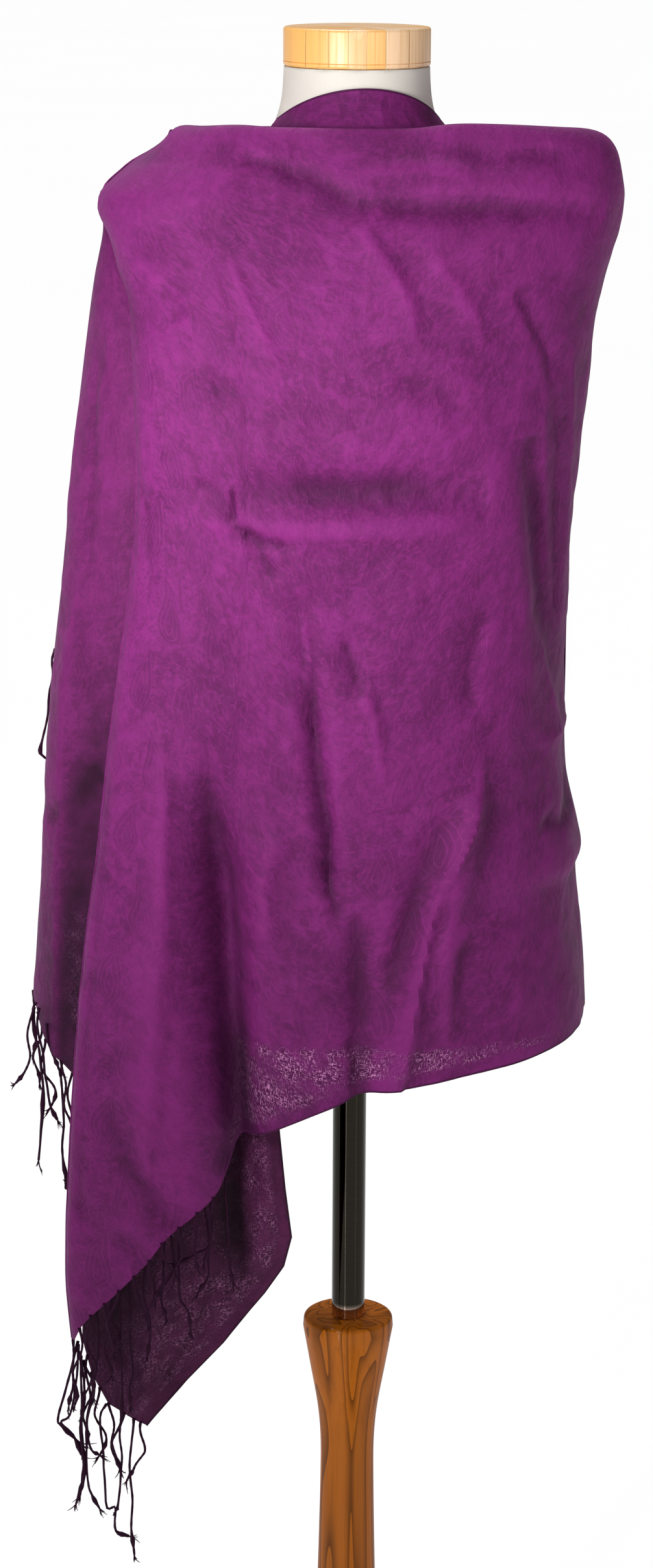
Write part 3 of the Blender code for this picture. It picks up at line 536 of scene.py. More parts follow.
def ripple(points, size, shift):
    """Soft noise from -1 to 1 over places of a sheet."""
    flat = (points.reshape(-1, 3) + shift) / size
    values = [noise.noise(Vector(place)) for place in flat]
    return np.array(values).reshape(points.shape[:-1])


def cloth_ripple(points):
    """The uneven lie of the cloth, in metres inwards."""
    depth, size, shift = LONG_RIPPLE
    move = depth * ripple(points * np.array(LONG_WAY), size, shift)
    for depth, size, shift in RIPPLES:
        move = move + depth * ripple(points, size, shift)
    return move


def front_plan(row, across):
    """The front's plan: across is -1 at the folded edge, 0 in the middle, 1 at the right."""
    right_x, right_y = quarter(row.right, row.front, row.square, np.clip(across, 0, 1))
    below = row.z < FOLD_EDGE[0].z
    fold_x = np.where(below, read(FOLD_EDGE, "z", row.z, "x"), -row.left)
    fold_y = np.where(below, read(FOLD_EDGE, "z", row.z, "y"), 0.0)
    left_x, left_y = quarter(-fold_x, row.front + fold_y, row.square, np.clip(-across, 0, 1))
    x = np.where(across >= 0, right_x, -left_x)
    y = np.where(across >= 0, -right_y, fold_y - left_y)
    return x, y


def back_plan(row, across):
    """The back's plan: across is 1 at the right side, -1 at the left."""
    width = np.where(across > 0, row.right, row.left)
    x, y = quarter(width, row.back, row.square, np.abs(across))
    return np.copysign(x, across), y


def wrap_points(plan, hem, across, troughs):
    """A grid of points over a stretch of the wrap, from its hem up to the neckline."""
    low = np.full(across.shape, HEM_START)
    for _ in range(HEM_TRIES):
        x, _ = plan(wrap_row(low), across)
        low = read(hem, "x", x, "z")
    down = np.linspace(1, 0, WRAP_GRID_ROWS)[:, None]
    z = RIDGE + (low[None, :] - RIDGE) * down
    row = wrap_row(z)
    wide = np.broadcast_to(across[None, :], z.shape)
    body = np.stack([*plan(row, wide), z], axis=-1)
    body = lifted(leaned(body), np.exp((z - RIDGE) / LIFT_REACH))
    move = trough_depth(body, troughs)
    body += inward(body, row) * move[..., None]
    level = np.linspace(1, 0, YOKE_GRID_ROWS + 1)[1:, None] + np.zeros_like(across)[None, :]
    row = yoke_row(level)
    wide = np.broadcast_to(across[None, :], level.shape)
    yoke = np.stack([*plan(row, wide), row.z], axis=-1)
    yoke = lifted(leaned(yoke), level ** 2)
    return np.concatenate([body, yoke], axis=0)


def smooth_ridge(points):
    """Round the ridge of the shoulders along each column."""
    ridge = WRAP_GRID_ROWS - 1
    reach = RIDGE_REACH
    rows = slice(ridge - reach, ridge + reach)
    weight = smooth_step(1.2 - np.abs(np.arange(-reach, reach)) / reach)[:, None, None]
    for _ in range(RIDGE_SMOOTHING):
        above = points[ridge - reach + 1:ridge + reach + 1]
        below = points[ridge - reach - 1:ridge + reach - 1]
        middle = (above + below) / 2
        points[rows] = points[rows] * (1 - weight / 2) + middle * weight / 2
    return points


def settle(points, creases, edge_fade):
    """Move the points of a sheet in and out by its creases and its uneven lie."""
    row = wrap_row(np.clip(points[..., 2], WRAP[-1].z, RIDGE))
    move = (CREASE_STRENGTH * crease_sum(points, creases) + cloth_ripple(points)) * edge_fade
    return points + inward(points, row) * move[..., None]


def front_grid():
    """The front stretch, from its folded edge to the right side."""
    u = np.linspace(0, 1, FRONT_COLUMNS + 1)
    across = np.where(
        u < FRONT_LEFT_SHARE,
        u / FRONT_LEFT_SHARE - 1,
        (u - FRONT_LEFT_SHARE) / (1 - FRONT_LEFT_SHARE))
    points = smooth_ridge(wrap_points(front_plan, FRONT_HEM, across, FRONT_TROUGHS))
    fade = smooth_step((1 - u) / 0.05) * smooth_step(u / 0.02 + 0.4)
    over = smooth_step((RIDGE - RIDGE_CLEAR - points[..., 2]) / RIDGE_CREASE_FADE)
    return settle(points, FRONT_CREASES, fade[None, :] * over)


def return_grid(front, fold):
    """The cloth turned back behind the folded edge, welded to the front's first column."""
    edge = front[:, 0]
    edge = edge[edge[:, 2] < RETURN_TOP]
    columns = []
    taper = smooth_step((RETURN_TOP - edge[:, 2]) / (RETURN_TOP - RETURN_FULL))
    down = np.clip((RETURN_FULL - edge[:, 2]) / (RETURN_FULL - FRONT_HEM[0].z), 0, 1)
    reach = RETURN_NARROW + (RETURN_WIDE + RETURN_FLARE * down) * taper
    rise = RETURN_RISE * smooth_step((RETURN_RISE_TOP - edge[:, 2]) / RETURN_RISE_FADE)
    for share in np.linspace(1, 0, RETURN_COLUMNS, endpoint=False):
        turn = share * math.pi / 2
        offset = np.stack([
            reach * (1 - math.cos(turn)),
            2 * fold + RETURN_OPEN * taper * math.sin(turn),
            rise * share ** 2], axis=-1)
        columns.append(edge + offset)
    for angle in np.linspace(math.pi, 0, FOLD_STEPS):
        offset = np.array((-fold * math.sin(angle), fold * (1 - math.cos(angle)), 0.0))
        columns.append(edge + offset)
    return np.stack(columns, axis=1)


def back_grid():
    """The back stretch, from the right side round to the left."""
    across = np.linspace(1, -1, BACK_COLUMNS + 1)
    points = smooth_ridge(wrap_points(back_plan, BACK_HEM, across, BACK_TROUGHS))
    fade = smooth_step((1 - np.abs(across)) / 0.10)
    over = smooth_step((RIDGE - BACK_RIDGE_CLEAR - points[..., 2]) / RIDGE_CREASE_FADE)
    return settle(points, BACK_CREASES, fade[None, :] * over)


def side_grid():
    """The layer under the front at the left, from the back seam forward."""
    rows, columns = SIDE_GRID
    u = np.linspace(0, 1, columns + 1)
    low = np.full(u.shape, HEM_START)
    for _ in range(HEM_TRIES):
        x, _ = side_plan(low, u)
        low = read(SIDE_HEM, "x", x, "z")
    v = np.linspace(0, 1, rows + 1)[:, None]
    z = low[None, :] + (SIDE_TOP - low[None, :]) * v
    x, y = side_plan(z, np.broadcast_to(u[None, :], z.shape))
    points = np.stack([x, y, z], axis=-1)
    fade = smooth_step(u / 0.15)[None, :] * smooth_step((1.43 - z) / 0.03)
    return settle(points, SIDE_CREASES, fade)


def side_plan(z, share):
    """The side layer's plan: share 0 at the back seam, 1 at its hidden end."""
    left = wrap_row(z).left
    end_x = read(SIDE_END, "z", z, "x")
    end_y = read(SIDE_END, "z", z, "y")
    x, y = quarter(left + end_x, -end_y, SIDE_SQUARE, 1 - share)
    return end_x - x, -y


def tail_grid():
    """The low tail behind the front, from left to right."""
    rows, columns = TAIL_GRID
    down = np.linspace(1, 0, rows + 1)
    stops = np.linspace(0, 1, len(TAIL))
    table = np.array(TAIL)
    edges = np.stack([np.interp(down, stops, table[:, i]) for i in range(6)], axis=-1)
    u = np.linspace(0, 1, columns + 1)[None, :, None]
    points = edges[:, None, :3] * (1 - u) + edges[:, None, 3:] * u
    high = np.clip((points[..., 2] - TAIL_VALLEY.z_low) / TAIL_VALLEY.rise, 0.0, 1.0)
    valley = bell(points[..., 0], TAIL_VALLEY.x, TAIL_VALLEY.width) * high
    bulge = np.sin(math.pi * u[..., 0]) * (1 - down)[:, None]
    points[..., 1] += TAIL_VALLEY.depth * valley - TAIL_BULGE * bulge
    held = smooth_step((1 - u[..., 0]) / 0.03)
    points[..., 1] += (CREASE_STRENGTH * crease_sum(points, TAIL_CREASES) + cloth_ripple(points)) * held
    return points


def over_back(turn, z, lift):
    """Points outside the back by a lift: turn is 0 behind and 1 at the left side."""
    row = wrap_row(z)
    points = leaned(np.stack([*back_plan(row, -turn), z], axis=-1))
    points = points + inward(points, row) * trough_depth(points, BACK_TROUGHS)[..., None]
    points[..., 2] += lift * 0.7 * np.exp((z - RIDGE) / LIFT_REACH)
    return points - inward(points, row) * lift


def corner_grid():
    """The outer end's corner over the left shoulder, from its inner end to the left."""
    rows, columns = CORNER_GRID
    u = np.linspace(0, 1, columns + 1)[None, :]
    v = np.linspace(0, 1, rows + 1)[:, None]
    turn = CORNER_TURNS[0] + (CORNER_TURNS[1] - CORNER_TURNS[0]) * u + 0 * v
    low = CORNER_HEIGHTS[0] + (CORNER_HEIGHTS[1] - CORNER_HEIGHTS[0]) * u
    ridge = RIDGE - CORNER_BELOW_RIDGE
    z = ridge - (ridge - low) * (1 - v)
    points = over_back(turn, z, CORNER_LIFT)
    fade = smooth_step((RIDGE - CORNER_RIDGE_CLEAR - z) / 0.03)
    return settle(points, BACK_CREASES[:1], fade)


def collar_grid():
    """The top edge against the neck, from left to right."""
    rows, columns = COLLAR_GRID
    u = np.linspace(0, 1, columns + 1)[None, :]
    v = np.linspace(0, 1, rows + 1)[:, None]
    turn = COLLAR_MIDDLE + (2 * u - 1) * COLLAR_REACH
    arc = np.cos((2 * u - 1) * math.pi / 2)
    top = COLLAR_END + (COLLAR_TOP - COLLAR_END) * arc
    foot_radius = WRAP[0].front
    foot = COLLAR_FOOT + LEAN * (LEAN_FROM + foot_radius * np.cos(turn))
    z = foot + (top - foot) * v
    above = read(NECK, "z", z, "radius") + COLLAR_CLEAR
    radius = above + (foot_radius - above) * (1 - v) ** 2
    radius = radius + 0.0012 * np.sin(math.pi * v) * bell(u, 0.56, 0.04)
    return np.stack([radius * np.sin(turn), -radius * np.cos(turn), z], axis=-1)


def deselect():
    """Leave nothing selected, whatever the frame's import left."""
    if bpy.context.object and bpy.context.object.mode != "OBJECT":
        bpy.ops.object.mode_set(mode="OBJECT")
    bpy.ops.object.select_all(action="DESELECT")


def activate(piece):
    """Make one piece the selected and active one."""
    deselect()
    piece.select_set(True)
    bpy.context.view_layer.objects.active = piece


def apply_all(piece):
    """Apply the piece's modifiers."""
    activate(piece)
    for modifier in list(piece.modifiers):
        bpy.ops.object.modifier_apply(modifier=modifier.name)


def finish_piece(piece, name, finish, slot, *nodes):
    """Name a piece, give it its material and tie it to the frame."""
    piece.name = name
    piece.data.name = name
    piece.data.materials.clear()
    piece.data.materials.append(finish)
    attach(piece, "root")
    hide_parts(*nodes)


def grid_object(points, marks):
    """A grid primitive moved to an array of points, with its flat sizes as a UV map.

    The marks are named values, one for each point, kept for the material.
    """
    rows, columns = points.shape[:2]
    deselect()
    bpy.ops.mesh.primitive_grid_add(x_subdivisions=columns - 1, y_subdivisions=rows - 1, size=1)
    piece = bpy.context.object
    mesh = piece.data
    count = len(mesh.vertices)
    places = np.empty(count * 3)
    mesh.vertices.foreach_get("co", places)
    places = places.reshape(-1, 3)
    column = np.rint((places[:, 0] + 0.5) * (columns - 1)).astype(int)
    row = np.rint((places[:, 1] + 0.5) * (rows - 1)).astype(int)
    mesh.vertices.foreach_set("co", points[row, column].ravel())
    steps = np.linalg.norm(np.diff(points[rows // 2], axis=0), axis=-1)
    along = np.concatenate([[0.0], np.cumsum(steps)])
    steps = np.linalg.norm(np.diff(points, axis=0), axis=-1)
    down = np.concatenate([np.cumsum(steps[::-1], axis=0)[::-1], np.zeros((1, columns))])
    flat = np.stack([along[column], down.max() - down[row, column]], axis=-1)
    loops = np.empty(len(mesh.loops), dtype=int)
    mesh.loops.foreach_get("vertex_index", loops)
    mesh.uv_layers[0].data.foreach_set("uv", flat[loops].ravel())
    for name, values in marks.items():
        kept = mesh.attributes.new(name, "FLOAT", "POINT")
        kept.data.foreach_set("value", values[row, column].astype(np.float32))
    mesh.update()
    return piece


def give_wall(piece, thickness):
    """Turn an open sheet into cloth with a wall on its inner side, shaded smooth."""
    wall = piece.modifiers.new("wall", "SOLIDIFY")
    wall.thickness = thickness
    wall.offset = -1
    apply_all(piece)
    bpy.ops.object.shade_smooth()
    piece.data.set_sharp_from_angle(angle=CORNER_ANGLE)


def cloth_sheet(points, marks, wall, name, finish, *nodes):
    """One stretch of cloth from its grid of points."""
    piece = grid_object(points, marks)
    give_wall(piece, wall)
    finish_piece(piece, name, finish, "scarf_cloth", *nodes)
    return piece


def edge_distance(points, axis, from_end=False):
    """Distance of each point from one edge of its grid, along the cloth."""
    steps = np.linalg.norm(np.diff(points, axis=axis), axis=-1)
    start = np.zeros_like(np.take(steps, [0], axis=axis))
    lengths = np.concatenate([start, np.cumsum(steps, axis=axis)], axis=axis)
    if from_end:
        lengths = np.take(lengths, [-1], axis=axis) - lengths
    return lengths


def spread_out(values, reach):
    """Smooth a grid of values over neighbours up to a reach of cells."""
    for axis in (0, 1):
        ends = [(reach, reach) if k == axis else (0, 0) for k in range(values.ndim)]
        padded = np.pad(values, ends, mode="reflect", reflect_type="odd")
        count = values.shape[axis]
        shifted = [np.take(padded, range(k, k + count), axis=axis) for k in range(2 * reach + 1)]
        values = np.mean(shifted, axis=0)
    return values


def relief(points):
    """How far each point stands out of its surroundings: 1 on a sharp ridge, -1 in a sharp trough."""
    # The cloth's material paints shade in the troughs and highlights on the ridges by this.
    out = np.cross(np.gradient(points, axis=1), np.gradient(points, axis=0))
    out /= np.linalg.norm(out, axis=-1, keepdims=True) + 1e-12
    away = points * np.array((1.0, 1.0, 0.0)) + np.array((0.03, 0.0, 0.0))
    out *= np.sign((out * away).sum(axis=-1).mean())
    found = 0.0
    for reach, size, share in RELIEF:
        stands = ((points - spread_out(points, reach)) * out).sum(axis=-1)
        found = found + share * np.clip(stands / size, -1, 1)
    return np.maximum(found, DEEPEST)


def marks_of(points, rim, paisley, sheer=0.0, shaded=0.0):
    """What the cloth's material reads: bare edge, pattern weight, open weave, and how far the cloth stands
    out less the painted shade, by which it paints shade and highlights.
    """
    marks = {"rim": rim, "paisley": paisley, "sheer": sheer, "relief": relief(points) - shaded}
    return {name: np.broadcast_to(values, points.shape[:2]) for name, values in marks.items()}


# Fringe: strands are counted along each edge
Fringe = namedtuple("Fringe", "strands length lean wave")
FRONT_FRINGE = Fringe(11, 0.064, -0.002, 0.0060)
SIDE_FRINGE = Fringe(5, 0.058, 0.002, 0.0070)
TAIL_FRINGE = Fringe(6, 0.060, -0.001, 0.0065)
BACK_FRINGE = Fringe(26, 0.090, -0.002, 0.0025)
STRAND_POINTS = 26
# Over how much of its drop a strand leaves the edge, starts to swing and
# swings to one side, and its fine curl
LEAVE = 0.005
SWING_START = 0.020
SWING_SIDE = 0.034
SWING_DEPTH = 0.036
# A strand's length as a share of the fringe's, and how much that varies
EVEN_LENGTH, UNEVEN_LENGTH = 0.80, 0.34
CURL, CURL_DROP = 0.0005, 0.0040
HAIRS = 6
HAIR_STEPS = (0.0, 0.25, 0.5, 0.75, 1.0)
HAIR_RADII = (0.6, 0.5, 0.45, 0.35, 0.2)
LIES_OFF = 0.0022

# Strands that show singly, as bent lines of (x, z) points with their y
SeenStrands = namedtuple("SeenStrands", "y paths")
SIDE_SEEN = seen_table(-50, (
    (-241.5, 838.2, -244.6, 832.4, -243.9, 814.5, -240.1, 800.8, -238.4, 782.8, -237.8, 757.4, -241.5,
     709.8),
    (-239.6, 834.5, -240.8, 819.8, -237.2, 798.7, -235.5, 777.6, -231.8, 756.3, -226.4, 743.6),
    (-242.6, 835.5, -248.9, 814.5, -247.2, 796, -251.4, 782.8, -258.1, 773.7),
    (-233.8, 822.5, -231.1, 804, -224.8, 784.5),
    (-220.7, 796.2, -223.5, 776.6, -221.4, 744.7, -223.3, 718.4, -220.6, 693.7),
    (-213.8, 784.6, -218.6, 763.9, -214.8, 744.7, -216.2, 721.2, -216, 692.7, -219.6, 687.3, -221.1, 691.6),
))
FOLD_SEEN = seen_table(-113, (
    (-208.6, 585.2, -216.5, 551.7, -224.5, 522.2, -222.1, 514.1, -207.7, 499.9),
    (-208.1, 583.1, -210.5, 550.6, -215.4, 524.5, -222.5, 517.9, -213.6, 507, -206.8, 490.6),
    (-206.7, 577.7, -205.7, 539.8, -206.1, 502.7, -203.9, 478.6, -211.3, 450.4),
    (-205.7, 575, -204.1, 545.2, -207.5, 512.5, -204.8, 485.1, -208.2, 457.6),
    (-204.8, 569.6, -199.1, 539.8, -202.4, 518, -199.6, 496.1, -193.7, 490.7),
    (-203.8, 566.9, -196.1, 545.3, -202.4, 518, -202, 470.3, -199.1, 457.1, -193.1, 446.6),
))
SLANT_SEEN = seen_table(-117, (
    (-95.7, 733, -92.9, 681, -91, 650.2, -89, 635.9),
    (-107.1, 713, -105.3, 678.8, -107.8, 658.1, -107.9, 641.6, -114.8, 629.3),
    (-112.1, 707, -106.8, 669.8, -117.2, 660.2, -130.6, 652.1),
    (-136.9, 685, -134.5, 662.2, -132.6, 645.7),
    (-140.9, 680, -142.1, 637.7, -144.2, 621.1, -140.8, 608.8),
    (-128.9, 693, -130.1, 654.8, -129.3, 625.5, -123.4, 613.2, -121.5, 596.6),
    (-178.9, 634, -182.6, 608.6, -177.3, 596.3, -176.4, 583.9),
    (-167.9, 646, -167.9, 587.7, -166.1, 560.8, -168.2, 550.5, -168.4, 533.7),
    (-175.4, 638, -175.4, 587.7, -174.7, 554.8, -176, 521.1),
    (-193, 619, -192.4, 579.5, -195.6, 562.8, -196.8, 541.6),
    (-154.9, 662, -157.1, 628, -152.3, 601.3, -154.5, 577),
))
TAIL_SEEN = seen_table(-91, (
    (-188.6, 523, -193.8, 510.6, -191.1, 476.4, -189.5, 436.4, -182.4, 434.8, -182.6, 415.2, -171.9, 410.2),
    (-176.6, 517, -178.7, 497.4, -176.9, 476.5, -180.3, 439.8, -181.9, 432.5),
    (-167, 512, -170.8, 476.5, -169.1, 443.2, -169.8, 415.3, -168, 395.1),
))
BACK_SEEN = seen_table(20, (
    (-228.5, 1101, -231, 1093, -230.6, 1080.4, -233.8, 1066, -234.9, 1048, -239.1, 1031.4, -241.3, 1019.4,
     -237.3, 1014.3),
))


def seen_strands(seen):
    """The points of strands that show singly, on smooth curves through their stops."""
    paths = []
    for index, stops in enumerate(seen.paths):
        line = np.array(stops)
        ends = np.concatenate([[2 * line[0] - line[1]], line, [2 * line[-1] - line[-2]]])
        spans = len(line) - 1
        points = []
        for step in range(STRAND_POINTS):
            at = step / (STRAND_POINTS - 1) * spans
            k = min(int(at), spans - 1)
            t = at - k
            a, b, c, d = ends[k:k + 4]
            x, z = 0.5 * (2 * b + (c - a) * t + (2 * a - 5 * b + 4 * c - d) * t * t
                          + (3 * b - a - 3 * c + d) * t ** 3)
            wave = noise.noise(Vector((index * 4.7, z / 0.020, 2.0)))
            points.append(Vector((x + 0.0007 * wave, seen.y - 0.0012 * index % 0.004 + 0.002 * wave, z)))
        paths.append(points)
    return paths


def fallen_strands(places, fringe, follow):
    """The points of strands that fall from even places along an edge."""
    return [strand_path(*place, fringe, index, follow) for index, place in enumerate(places)]


def swerve(place):
    """A steady turn in each of three directions, its own for each place."""
    return Vector([noise.noise(place + Vector((17.3 * axis, 0.0, 0.0))) for axis in range(3)])


def tuft(points, index):
    """The frayed end of a strand: a few short hairs."""
    end = points[-1]
    ahead = (end - points[-3]).normalized()
    hairs = []
    for hair in range(HAIRS):
        spread = swerve(Vector((index * 3.3, hair * 2.9, 5.0)))
        bend = swerve(Vector((index * 1.3, hair * 4.1, 9.0)))
        length = 0.0050 + 0.0080 * abs(bend.x)
        way = (ahead + spread * 0.7).normalized()
        hairs.append([end + way * length * t + bend * 0.0070 * t * t for t in HAIR_STEPS])
    return hairs


def strand_path(root, out, fringe, index, follow):
    """The points of one strand: it leaves its edge, turns down and waves as it hangs."""
    pace = noise.noise(Vector((index * 1.7, 3.1, 0.5)))
    length = fringe.length * (EVEN_LENGTH + UNEVEN_LENGTH * pace)
    phase = index * 2.1
    points = []
    for step in range(STRAND_POINTS):
        t = step / (STRAND_POINTS - 1)
        drop = length * t
        leave = LEAVE * (1 - math.exp(-drop / LEAVE))
        wander = noise.noise(Vector((index * 5.3, drop / SWING_SIDE, 1.0)))
        depth = noise.noise(Vector((index * 3.9, drop / SWING_DEPTH, 7.0)))
        grow = min(drop / SWING_START, 1.0)
        side = fringe.wave * 2.4 * wander * grow + fringe.lean * t
        side += CURL * math.sin(phase + drop / CURL_DROP) * grow
        push = fringe.wave * 1.2 * depth * grow
        points.append(follow(root + out * leave, side, push, drop * (1 - 0.06 * abs(wander))))
    return points


def hang_free(root, side, push, drop):
    """A strand that hangs in the open."""
    return root + Vector((side, push, -drop))


def hang_on_back(root, side, push, drop):
    """A strand that lies on the back, just outside the cloth."""
    z = root.z - drop
    turns = np.linspace(0, 1, 121)
    line = over_back(turns, np.full(turns.shape, z), CORNER_LIFT + LIES_OFF + abs(push) * 0.4)
    near = np.argmin(np.abs(line[:, 0] - (root.x + side)))
    return Vector((root.x + side, line[near, 1], z))


def edge_places(line, inner, count):
    """Even places along an edge of a grid, with the way out of the cloth there."""
    steps = np.linalg.norm(np.diff(line, axis=0), axis=-1)
    lengths = np.concatenate([[0.0], np.cumsum(steps)])
    places = []
    for index in range(count):
        goal = lengths[-1] * (index + 0.5) / count
        at = [float(np.interp(goal, lengths, line[:, axis])) for axis in range(3)]
        back = [float(np.interp(goal, lengths, inner[:, axis])) for axis in range(3)]
        out = (Vector(at) - Vector(back)).normalized()
        places.append((Vector(at) - out * 0.0010, out))
    return places


def add_spline(curve, points, radii):
    """Add a line of points with their radii to a curve."""
    spline = curve.splines.new("POLY")
    spline.points.add(len(points) - 1)
    for target, place, radius in zip(spline.points, points, radii):
        target.co = (*place, 1.0)
        target.radius = radius


def strands_object(name, paths, radius):
    """All strands of one edge as a single mesh of thin twisted cords with frayed ends."""
    curve = bpy.data.curves.new(name, "CURVE")
    curve.dimensions = "3D"
    curve.bevel_depth = radius
    curve.bevel_resolution = 1
    curve.use_fill_caps = True
    for index, points in enumerate(paths):
        knot = len(points) - 3 - index % 3
        radii = []
        for step in range(len(points)):
            plump = 1.1 * math.exp(-((step - knot) / 1.2) ** 2)
            root_knot = 0.4 * math.exp(-(step / 1.1) ** 2)
            radii.append(1.0 + 0.10 * math.sin(step * 2.6 + index) + plump + root_knot)
        add_spline(curve, points, radii)
        for hair in tuft(points, index):
            add_spline(curve, hair, HAIR_RADII)
    piece = bpy.data.objects.new(name, curve)
    bpy.context.scene.collection.objects.link(piece)
    activate(piece)
    bpy.ops.object.convert(target="MESH")
    piece = bpy.context.object
    bpy.ops.object.mode_set(mode="EDIT")
    bpy.ops.mesh.select_all(action="SELECT")
    bpy.ops.mesh.remove_doubles(threshold=0.00001)
    bpy.ops.mesh.normals_make_consistent(inside=False)
    bpy.ops.object.mode_set(mode="OBJECT")
    bpy.ops.object.shade_smooth()
    return piece


def fringe_piece(side, paths, radius):
    """The strands of one edge, in place of that edge's solid."""
    name = f"fringe_{side}_strands"
    strands = strands_object(name, paths, radius)
    finish_piece(strands, name, bpy.data.materials["twisted yarn"], "fringe_yarn", "fringe_" + side)
    return strands


def put(tree, socket, value):
    """Link a socket to a node's output, or set its value."""
    if isinstance(value, bpy.types.NodeSocket):
        tree.links.new(value, socket)
    else:
        socket.default_value = value


def feed(tree, made, **values):
    """Set a node's sockets by their names, with _ for a space."""
    for name, value in values.items():
        put(tree, made.inputs[name.replace("_", " ")], value)


def node(tree, kind, **values):
    """Add a node; a value is set on the socket or property of that name or number."""
    made = tree.nodes.new(kind)
    for name, value in values.items():
        if name[0] == "i" and name[1:].isdigit():
            put(tree, made.inputs[int(name[1:])], value)
        elif name in made.inputs:
            put(tree, made.inputs[name], value)
        else:
            setattr(made, name, value)
    return made


def maths(tree, operation, first, second=0.0, third=0.0):
    """The result of one Math node."""
    return node(tree, "ShaderNodeMath", operation=operation, i0=first, i1=second, i2=third).outputs[0]


def times(tree, first, second):
    """The product of two values."""
    return maths(tree, "MULTIPLY", first, second)


def times_plus(tree, first, second, third):
    """The product of two values with a third added."""
    return maths(tree, "MULTIPLY_ADD", first, second, third)


def minus(tree, first, second):
    """The first value less the second."""
    return maths(tree, "SUBTRACT", first, second)


def rest(tree, value):
    """What a value leaves of 1."""
    return minus(tree, 1.0, value)


def soft_band(tree, value, low, high):
    """0 below low, 1 above high, smooth between."""
    made = node(tree, "ShaderNodeMapRange", interpolation_type="SMOOTHSTEP")
    feed(tree, made, Value=value, From_Min=low, From_Max=high)
    return made.outputs["Result"]


def clouds(tree, place, scale, detail, **more):
    """The value of a noise texture."""
    return node(tree, "ShaderNodeTexNoise", Vector=place, Scale=scale, Detail=detail, **more).outputs["Fac"]


def stretched(tree, place, scale, turn=(0.0, 0.0, 0.0)):
    """A place turned and scaled along each axis."""
    return node(tree, "ShaderNodeMapping", Vector=place, Rotation=turn, Scale=scale).outputs[0]


def mark(tree, name):
    """One of the sheet's named values."""
    return node(tree, "ShaderNodeAttribute", attribute_name=name).outputs["Fac"]


def own_place(tree):
    """The place on the piece itself."""
    return node(tree, "ShaderNodeTexCoord").outputs["Object"]


def mixed(tree, factor, first, second):
    """Mix two colours."""
    return node(tree, "ShaderNodeMix", data_type="RGBA", i0=factor, i6=first, i7=second).outputs[2]


def new_group(name, label, default, results):
    """An empty node group that takes a place and a value, or the group alone if it is already there."""
    if name in bpy.data.node_groups:
        return bpy.data.node_groups[name], None, None
    tree = bpy.data.node_groups.new(name, "ShaderNodeTree")
    tree.interface.new_socket("Place", in_out="INPUT", socket_type="NodeSocketVector")
    value = tree.interface.new_socket(label, in_out="INPUT", socket_type="NodeSocketFloat")
    value.default_value = default
    for result in results:
        tree.interface.new_socket(result, in_out="OUTPUT", socket_type="NodeSocketFloat")
    return tree, tree.nodes.new("NodeGroupInput").outputs, tree.nodes.new("NodeGroupOutput").inputs


def use_group(tree, group, **values):
    """Place a group in a material's tree with its own values."""
    made = tree.nodes.new("ShaderNodeGroup")
    made.node_tree = group
    feed(tree, made, **values)
    return made.outputs


def weave_group():
    """Fine plain weave: threads that pass over and under each other."""
    tree, taken, given = new_group("plain weave", "Threads per metre", 900.0, ("Height", "Slub"))
    if taken is None:
        return tree
    parts = node(tree, "ShaderNodeSeparateXYZ", i0=taken["Place"])
    waves = []
    for axis in (0, 1):
        turns = times(tree, parts.outputs[axis], taken["Threads per metre"])
        waves.append(maths(tree, "ABSOLUTE", maths(tree, "SINE", times(tree, turns, math.pi))))
    weft = times(tree, waves[0], waves[1])
    tree.links.new(weft, given["Height"])
    threaded = stretched(tree, taken["Place"], (60.0, 900.0, 1.0))
    slub = clouds(tree, threaded, 1.0, 2.0)
    tree.links.new(slub, given["Slub"])
    return tree


